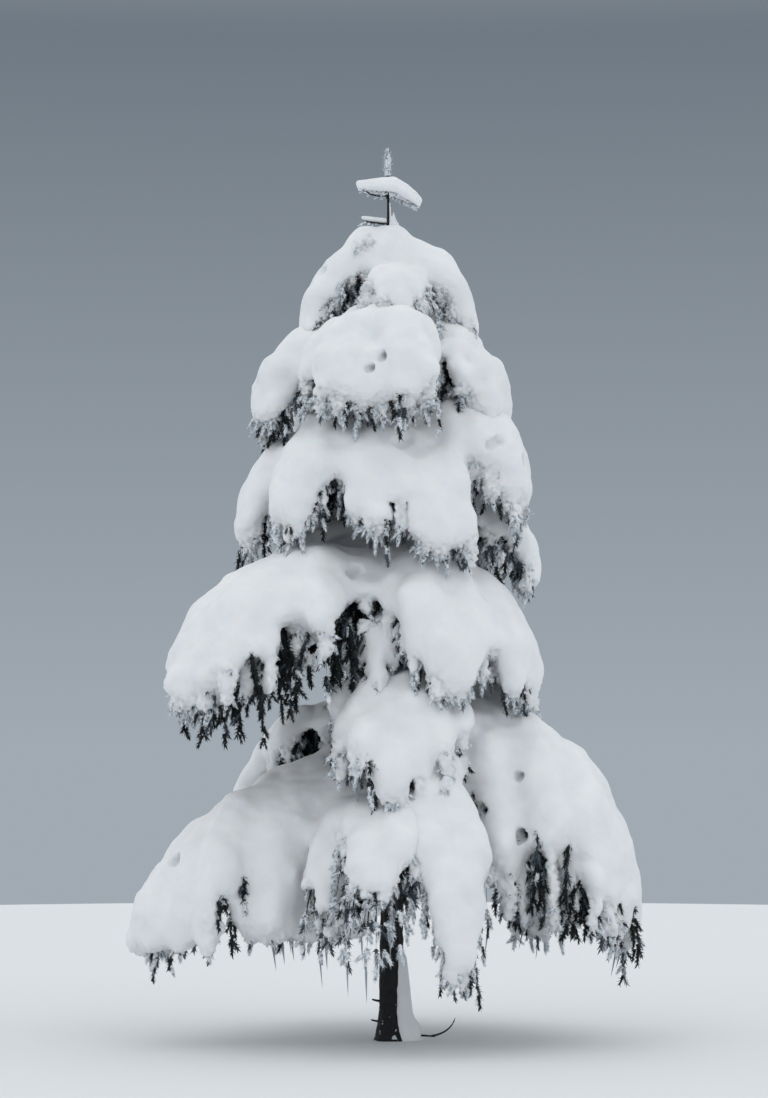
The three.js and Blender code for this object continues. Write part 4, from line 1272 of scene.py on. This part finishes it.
def spruce_bark():
    """Scaly bark, cold and damp: the eye sees nearly black plates, greyer edges and some caught snow."""
    material, tree, shader, where = new_material("spruce bark", Roughness=0.85)
    stretched = add(tree, "ShaderNodeMapping", {"Scale": (1, 1, 0.5)}, {"Vector": where})
    scales = add(tree, "ShaderNodeTexVoronoi", {"Scale": PER_MM / PLATE_WIDTH},
                 {"Vector": stretched.outputs["Vector"]})
    plate = add(tree, "ShaderNodeValToRGB", links={"Fac": scales.outputs["Distance"]},
                stops=[(0.1, "#08090B"), (0.9, "#191B1E")])
    height = add(tree, "ShaderNodeSeparateXYZ", links={"Vector": where})
    falling = add(tree, "ShaderNodeMath", {1: CAUGHT_FADING}, {0: height.outputs["Z"]}, operation="MULTIPLY")
    drift = add(tree, "ShaderNodeTexNoise", {"Scale": PER_MM / CAUGHT_WIDTH, "Detail": 2}, {"Vector": where})
    total = add(tree, "ShaderNodeMath", links={0: drift.outputs["Fac"], 1: falling.outputs["Value"]})
    caught = add(tree, "ShaderNodeMapRange", {"From Min": CAUGHT_EDGE[0], "From Max": CAUGHT_EDGE[1]},
                 {"Value": total.outputs["Value"]})
    colour = add(tree, "ShaderNodeMix", {7: linear("#C9D1D8")},
                 {0: caught.outputs["Result"], 6: plate.outputs["Color"]}, data_type="RGBA")
    relief = add(tree, "ShaderNodeBump", {"Strength": 0.7, "Distance": 0.003},
                 {"Height": scales.outputs["Distance"]})
    tree.links.new(colour.outputs[2], shader.inputs["Base Color"])
    tree.links.new(relief.outputs["Normal"], shader.inputs["Normal"])
    return material


def twig_bark():
    """Bark of twigs: the eye sees thin dark lines, a little redder than the trunk."""
    material, tree, shader, where = new_material("twig bark", Roughness=0.8)
    mottle = add(tree, "ShaderNodeTexNoise", {"Scale": PER_MM / TWIG_MOTTLE_WIDTH, "Detail": 2},
                 {"Vector": where})
    tint = add(tree, "ShaderNodeValToRGB", links={"Fac": mottle.outputs["Fac"]},
               stops=[(0.35, "#14110F"), (0.7, "#3A3430")])
    tree.links.new(tint.outputs["Color"], shader.inputs["Base Color"])
    return material


BARK, TWIG_BARK = spruce_bark(), twig_bark()
print("made", BARK.name, "and", TWIG_BARK.name)

# %% [markdown]
# A tube is a ring of points carried along a line. Tubes with equal numbers of rings are made together from
# arrays and joined. Their last ring is nearly a point, which closes them.

# %% Helpers for tubes
def tube_faces(count, rings, sides):
    """Four-sided faces between the rings of some tubes, whose points follow ring by ring, tube by tube."""
    a = np.arange(count)[:, None, None] * rings * sides + np.arange(rings - 1)[:, None] * sides
    k = np.arange(sides)
    here, beside = a + k, a + (k + 1) % sides
    return np.stack([here, beside, beside + sides, here + sides], -1).reshape(-1, 4)


def tubes(lines, radii, sides):
    """Tubes round many lines of equal length: lines is (tube, ring, xyz), and radii is (tube, ring)."""
    count, rings = radii.shape
    ahead = unit(np.gradient(lines, axis=1))
    reference = np.where(np.abs(ahead[:, :1, 2:3]) < 0.9, UP, np.array([1.0, 0, 0]))
    first = unit(np.cross(ahead, np.broadcast_to(reference, ahead.shape)))
    second = np.cross(ahead, first)
    angles = 2 * math.pi * np.arange(sides) / sides
    ring = first[:, :, None] * np.cos(angles)[:, None] + second[:, :, None] * np.sin(angles)[:, None]
    points = lines[:, :, None] + ring * radii[:, :, None, None]
    return points.reshape(-1, 3), tube_faces(count, rings, sides)


def joined(parts):
    """Parts put together into one list of points and faces."""
    points, faces, count = [], [], 0
    for part_points, part_faces in parts:
        points.append(part_points)
        faces.append(part_faces + count)
        count += len(part_points)
    return np.concatenate(points), np.concatenate(faces)


def limb_tubes(limbs, root_radii, tip_radii, rings, sides):
    """Tapering tubes along arcs, with a nearly closed last ring."""
    t = np.linspace(0, 1, rings)
    lines = np.array([along(limb, t) for limb in limbs])
    radii = blend(np.array(root_radii)[:, None], np.array(tip_radii)[:, None], t[None])
    radii[:, -1] *= 0.1
    return tubes(lines, radii, sides)


print("a tube of four rings and three sides has", len(tube_faces(1, 4, 3)), "faces")

# %% [markdown]
# The scales of the bark are modelled as relief where the trunk is bare and near the eye, with finer rings
# there. Two octaves of noise do it: one a plate wide, and one as fine as the plates' grain. Broken stubs and
# a forked dead twig stand out at the foot.

# %% The trunk
TRUNK_SIDES = 56
BARE_HEIGHT = 0.9  # below this the trunk shows, and its rings are close
FINE_STEP, COARSE_STEP = 0.008, 0.03  # between rings
TRUNK_END = 4.79
CLOSED_RADIUS = 0.0005
FLARE_LOBE_DEPTH, FLARE_LOBES = 0.006, 5
PLATE, PLATE_DEPTH = 0.02, 0.005
GRAIN, GRAIN_DEPTH = 0.006, 0.0015
FULL_RELIEF_FROM = 0.05  # a thinner trunk has less relief
# Height, bearing, reach, climb, drop and radius. The fork leaves the forked twig at a share of its length.
STUBS = [(205, 190, 108, 6, -18, 9), (95, 172, 112, 4, -14, 8)]
FORKED, FORK_AT, FORK = (26, 350, 245, 4, 4, 8), 0.8, (345, 135, 20, -105, 6)
TOP_TWIG_RADII = (0.006, 0.004)  # at the root and the tip


def trunk_tube():
    """The trunk as rings of points, rough with the relief of its bark."""
    fine = np.arange(0, BARE_HEIGHT, FINE_STEP)
    heights = [0, *fine, *np.arange(BARE_HEIGHT, TRUNK_END, COARSE_STEP), TRUNK_END]
    points = []
    for number, height in enumerate(heights):
        closed = number in (0, len(heights) - 1)
        radius = CLOSED_RADIUS if closed else float(trunk_radius(height))
        for angle in 2 * math.pi * np.arange(TRUNK_SIDES) / TRUNK_SIDES:
            out = np.array([math.cos(angle), math.sin(angle), 0])
            lobe = FLARE_LOBE_DEPTH * max(0, 1 - height / FLARE_HEIGHT) * math.sin(FLARE_LOBES * angle)
            at = Vector(out * radius + UP * 0.5 * height)
            relief = PLATE_DEPTH * noise.noise(at / PLATE) + GRAIN_DEPTH * noise.noise(at / GRAIN)
            rough = 0 if closed else lobe + relief * min(radius / FULL_RELIEF_FROM, 1)
            points.append(trunk_middle(height) + out * (radius + rough))
    return np.array(points), tube_faces(1, len(heights), TRUNK_SIDES)


def dead_twig(start, bearing, reach, climb, drop, radius):
    """A broken twig: its arc, for others to fork from, and its tube."""
    limb = arc(start, math.radians(bearing), reach * MM, climb * MM, drop * MM)
    return limb, limb_tubes([limb], [radius * MM], [0.5 * radius * MM], 9, 7)


parts = [trunk_tube()]
for height, *rest in STUBS:
    parts.append(dead_twig(trunk_middle(height * MM), *rest)[1])
forked, tube = dead_twig(trunk_middle(FORKED[0] * MM), *FORKED[1:])
parts += [tube, dead_twig(along(forked, FORK_AT), *FORK)[1]]
for boughs in ([LEDGE], CAP.boughs):
    root_radii, tip_radii = ([radius] * len(boughs) for radius in TOP_TWIG_RADII)
    parts.append(limb_tubes([bough_arc(b) for b in boughs], root_radii, tip_radii, 5, 6))
points, faces = joined(parts)
make_piece("bark_trunk", points, faces, BARK, "bark", ["trunk"])

# %% [markdown]
# The boughs of a whorl are one mesh, and its twigs and branchlets another, which replaces nothing: the packed
# tree has no wood that fine.

# %% Boughs and twigs
TWIG_ROOT, TWIG_TIP = 0.007, 0.003
BRANCHLET_ROOT, BRANCHLET_TIP = 0.003, 0.0015
for number, whorl in enumerate(WHORLS, 1):
    limbs = [bough_arc(b) for b in whorl.boughs]
    roots_of = [float(bough_radius(b, 0)) for b in whorl.boughs]
    points, faces = limb_tubes(limbs, roots_of, [BOUGH_TIP_RADIUS] * len(limbs), 16, 10)
    nodes = [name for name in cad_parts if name.startswith(f"limb_{number}_")]
    make_piece(f"bark_boughs_{number}", points, faces, BARK, "bark", nodes)
    limbs = [twig.limb for twig in twigs[number - 1]]
    wood = [limb_tubes(limbs, [TWIG_ROOT] * len(limbs), [TWIG_TIP] * len(limbs), 6, 5)]
    limbs = [branchlet.limb for branchlet in branchlets[number - 1]]
    wood.append(limb_tubes(limbs, [BRANCHLET_ROOT] * len(limbs), [BRANCHLET_TIP] * len(limbs), 4, 3))
    points, faces = joined(wood)
    make_piece(f"bark_twigs_{number}", points, faces, TWIG_BARK, "bark", None)

# %% [markdown]
# Icicles hang where meltwater ran down a shoot at the rim. The wind has turned them, and the boughs have sunk
# since, so their lower ends lean towards the trunk. Their ice is clear, but against snow it looks grey.

# %% Hang icicles
RIPPLE_WIDTH = 9  # millimetres


def clear_ice():
    """Icicles of meltwater, frozen clear: the eye sees thin grey-blue lines with a bright edge."""
    material, tree, shader, where = new_material(
        "icicle ice", Base_Color=linear("#A0A9B1"), Roughness=0.2, IOR=ICE_IOR, Transmission_Weight=0.1)
    ripple = add(tree, "ShaderNodeTexNoise", {"Scale": PER_MM / RIPPLE_WIDTH}, {"Vector": where})
    wavy = add(tree, "ShaderNodeBump", {"Strength": 0.4, "Distance": 0.001},
               {"Height": ripple.outputs["Fac"]})
    tree.links.new(wavy.outputs["Normal"], shader.inputs["Normal"])
    return material


# For each whorl, the share of its rim's branchlets that has an icicle, and their least and greatest lengths.
ICICLES = [(0.13, 0.1, 0.19), (0.1, 0.09, 0.17), (0.06, 0.07, 0.13)] + 3 * [(0.03, 0.06, 0.1)]
ICICLE_RADII = 0.0065 * np.array([0.7, 1.0, 0.8, 0.6, 0.35, 0.05])  # from the top down
LOWEST_ICE = 0.03
LEANS = (6, 22)  # degrees
rng = np.random.default_rng(55)
lines, radii = [], []
for level, (share, shortest, longest) in zip(branchlets, ICICLES):
    for branchlet in level:
        if not branchlet.rim or rng.uniform() > share:
            continue
        top = along(branchlet.limb, 1.0)
        length = min(rng.uniform(shortest, longest), top[2] - LOWEST_ICE)
        inward = -np.array([top[0], top[1], 0]) / math.hypot(top[0], top[1])
        lean = math.tan(math.radians(rng.uniform(*LEANS)))
        steps = np.linspace(0, 1, len(ICICLE_RADII))[:, None]
        lines.append(top + length * steps * (inward * lean - UP))
        radii.append(ICICLE_RADII * rng.uniform(0.8, 1.2))
points, faces = tubes(np.array(lines), np.array(radii), 6)
make_piece("icicles", points, faces, clear_ice(), "snow", None)
print("icicles:", len(lines))

# %% [markdown]
# The stage is a plain pale floor. It is a flat disc, wide enough for its far edge to stand where the
# snowfield ends, and it isn't part of the tree.

# %% Floor
FLOOR_RADIUS = 14.0
FLOOR_CORNERS = 96
rim_angles = 2 * math.pi * np.arange(FLOOR_CORNERS) / FLOOR_CORNERS
floor_mesh = bpy.data.meshes.new("floor")
floor_ring = [(FLOOR_RADIUS * math.cos(a), FLOOR_RADIUS * math.sin(a), 0) for a in rim_angles]
floor_mesh.from_pydata(floor_ring, [], [list(range(FLOOR_CORNERS))])
floor = bpy.data.objects.new("floor", floor_mesh)
bpy.context.scene.collection.objects.link(floor)
floor_material = new_material("matt studio floor", Base_Color=linear("#ECEEF0"), Roughness=0.9)[0]
floor_mesh.materials.append(floor_material)
print("floor:", 2 * FLOOR_RADIUS, "m wide")

# %% [markdown]
# The light is that of an even, overcast sky: brighter overhead than at the horizon, where it is the grey
# behind the tree. A sky texture could give it, but a ramp over the height above the horizon sets the grey
# behind the tree by itself. Five very wide, weak suns help it. Their shadows are so soft that only a faint
# one lies under the tree.

# %% Sky and lamps
SKY_STRENGTH = 0.8
world = bpy.data.worlds.new("overcast sky")
world.use_nodes = True
bpy.context.scene.world = world
tree = world.node_tree
direction = add(tree, "ShaderNodeTexCoord")
parts_of = add(tree, "ShaderNodeSeparateXYZ", links={"Vector": direction.outputs["Generated"]})
sky = add(tree, "ShaderNodeValToRGB", links={"Fac": parts_of.outputs["Z"]},
          stops=[(0.0, "#B2BCC5"), (0.95, "#F4F6F8"), (0.24, "#7B8691"), (0.42, "#DDE3E8")])
background = tree.nodes["Background"]
tree.links.new(sky.outputs["Color"], background.inputs["Color"])
background.inputs["Strength"].default_value = SKY_STRENGTH
# Azimuth and elevation in degrees, strength, and width in degrees.
LAMPS = {
    "top light": (0, 75, 0.06, 120), "front light": (0, 10, 0.3, 100), "left light": (-75, 25, 0.6, 100),
    "right light": (75, 25, 0.6, 100), "back light": (180, 30, 0.15, 90),
}
for name, (azimuth, elevation, strength, width) in LAMPS.items():
    data = bpy.data.lights.new(name, "SUN")
    data.energy = strength
    data.angle = math.radians(width)
    lamp = bpy.data.objects.new(name, data)
    lamp.rotation_euler = (math.radians(90 - elevation), 0, math.radians(azimuth))
    bpy.context.scene.collection.objects.link(lamp)
bpy.context.scene.view_settings.view_transform = "Standard"
print("lamps:", len(LAMPS))

# %% [markdown]
# The last cell prints the size of the dressed tree.

# %% Finish
print("triangles of each kind:", triangles)
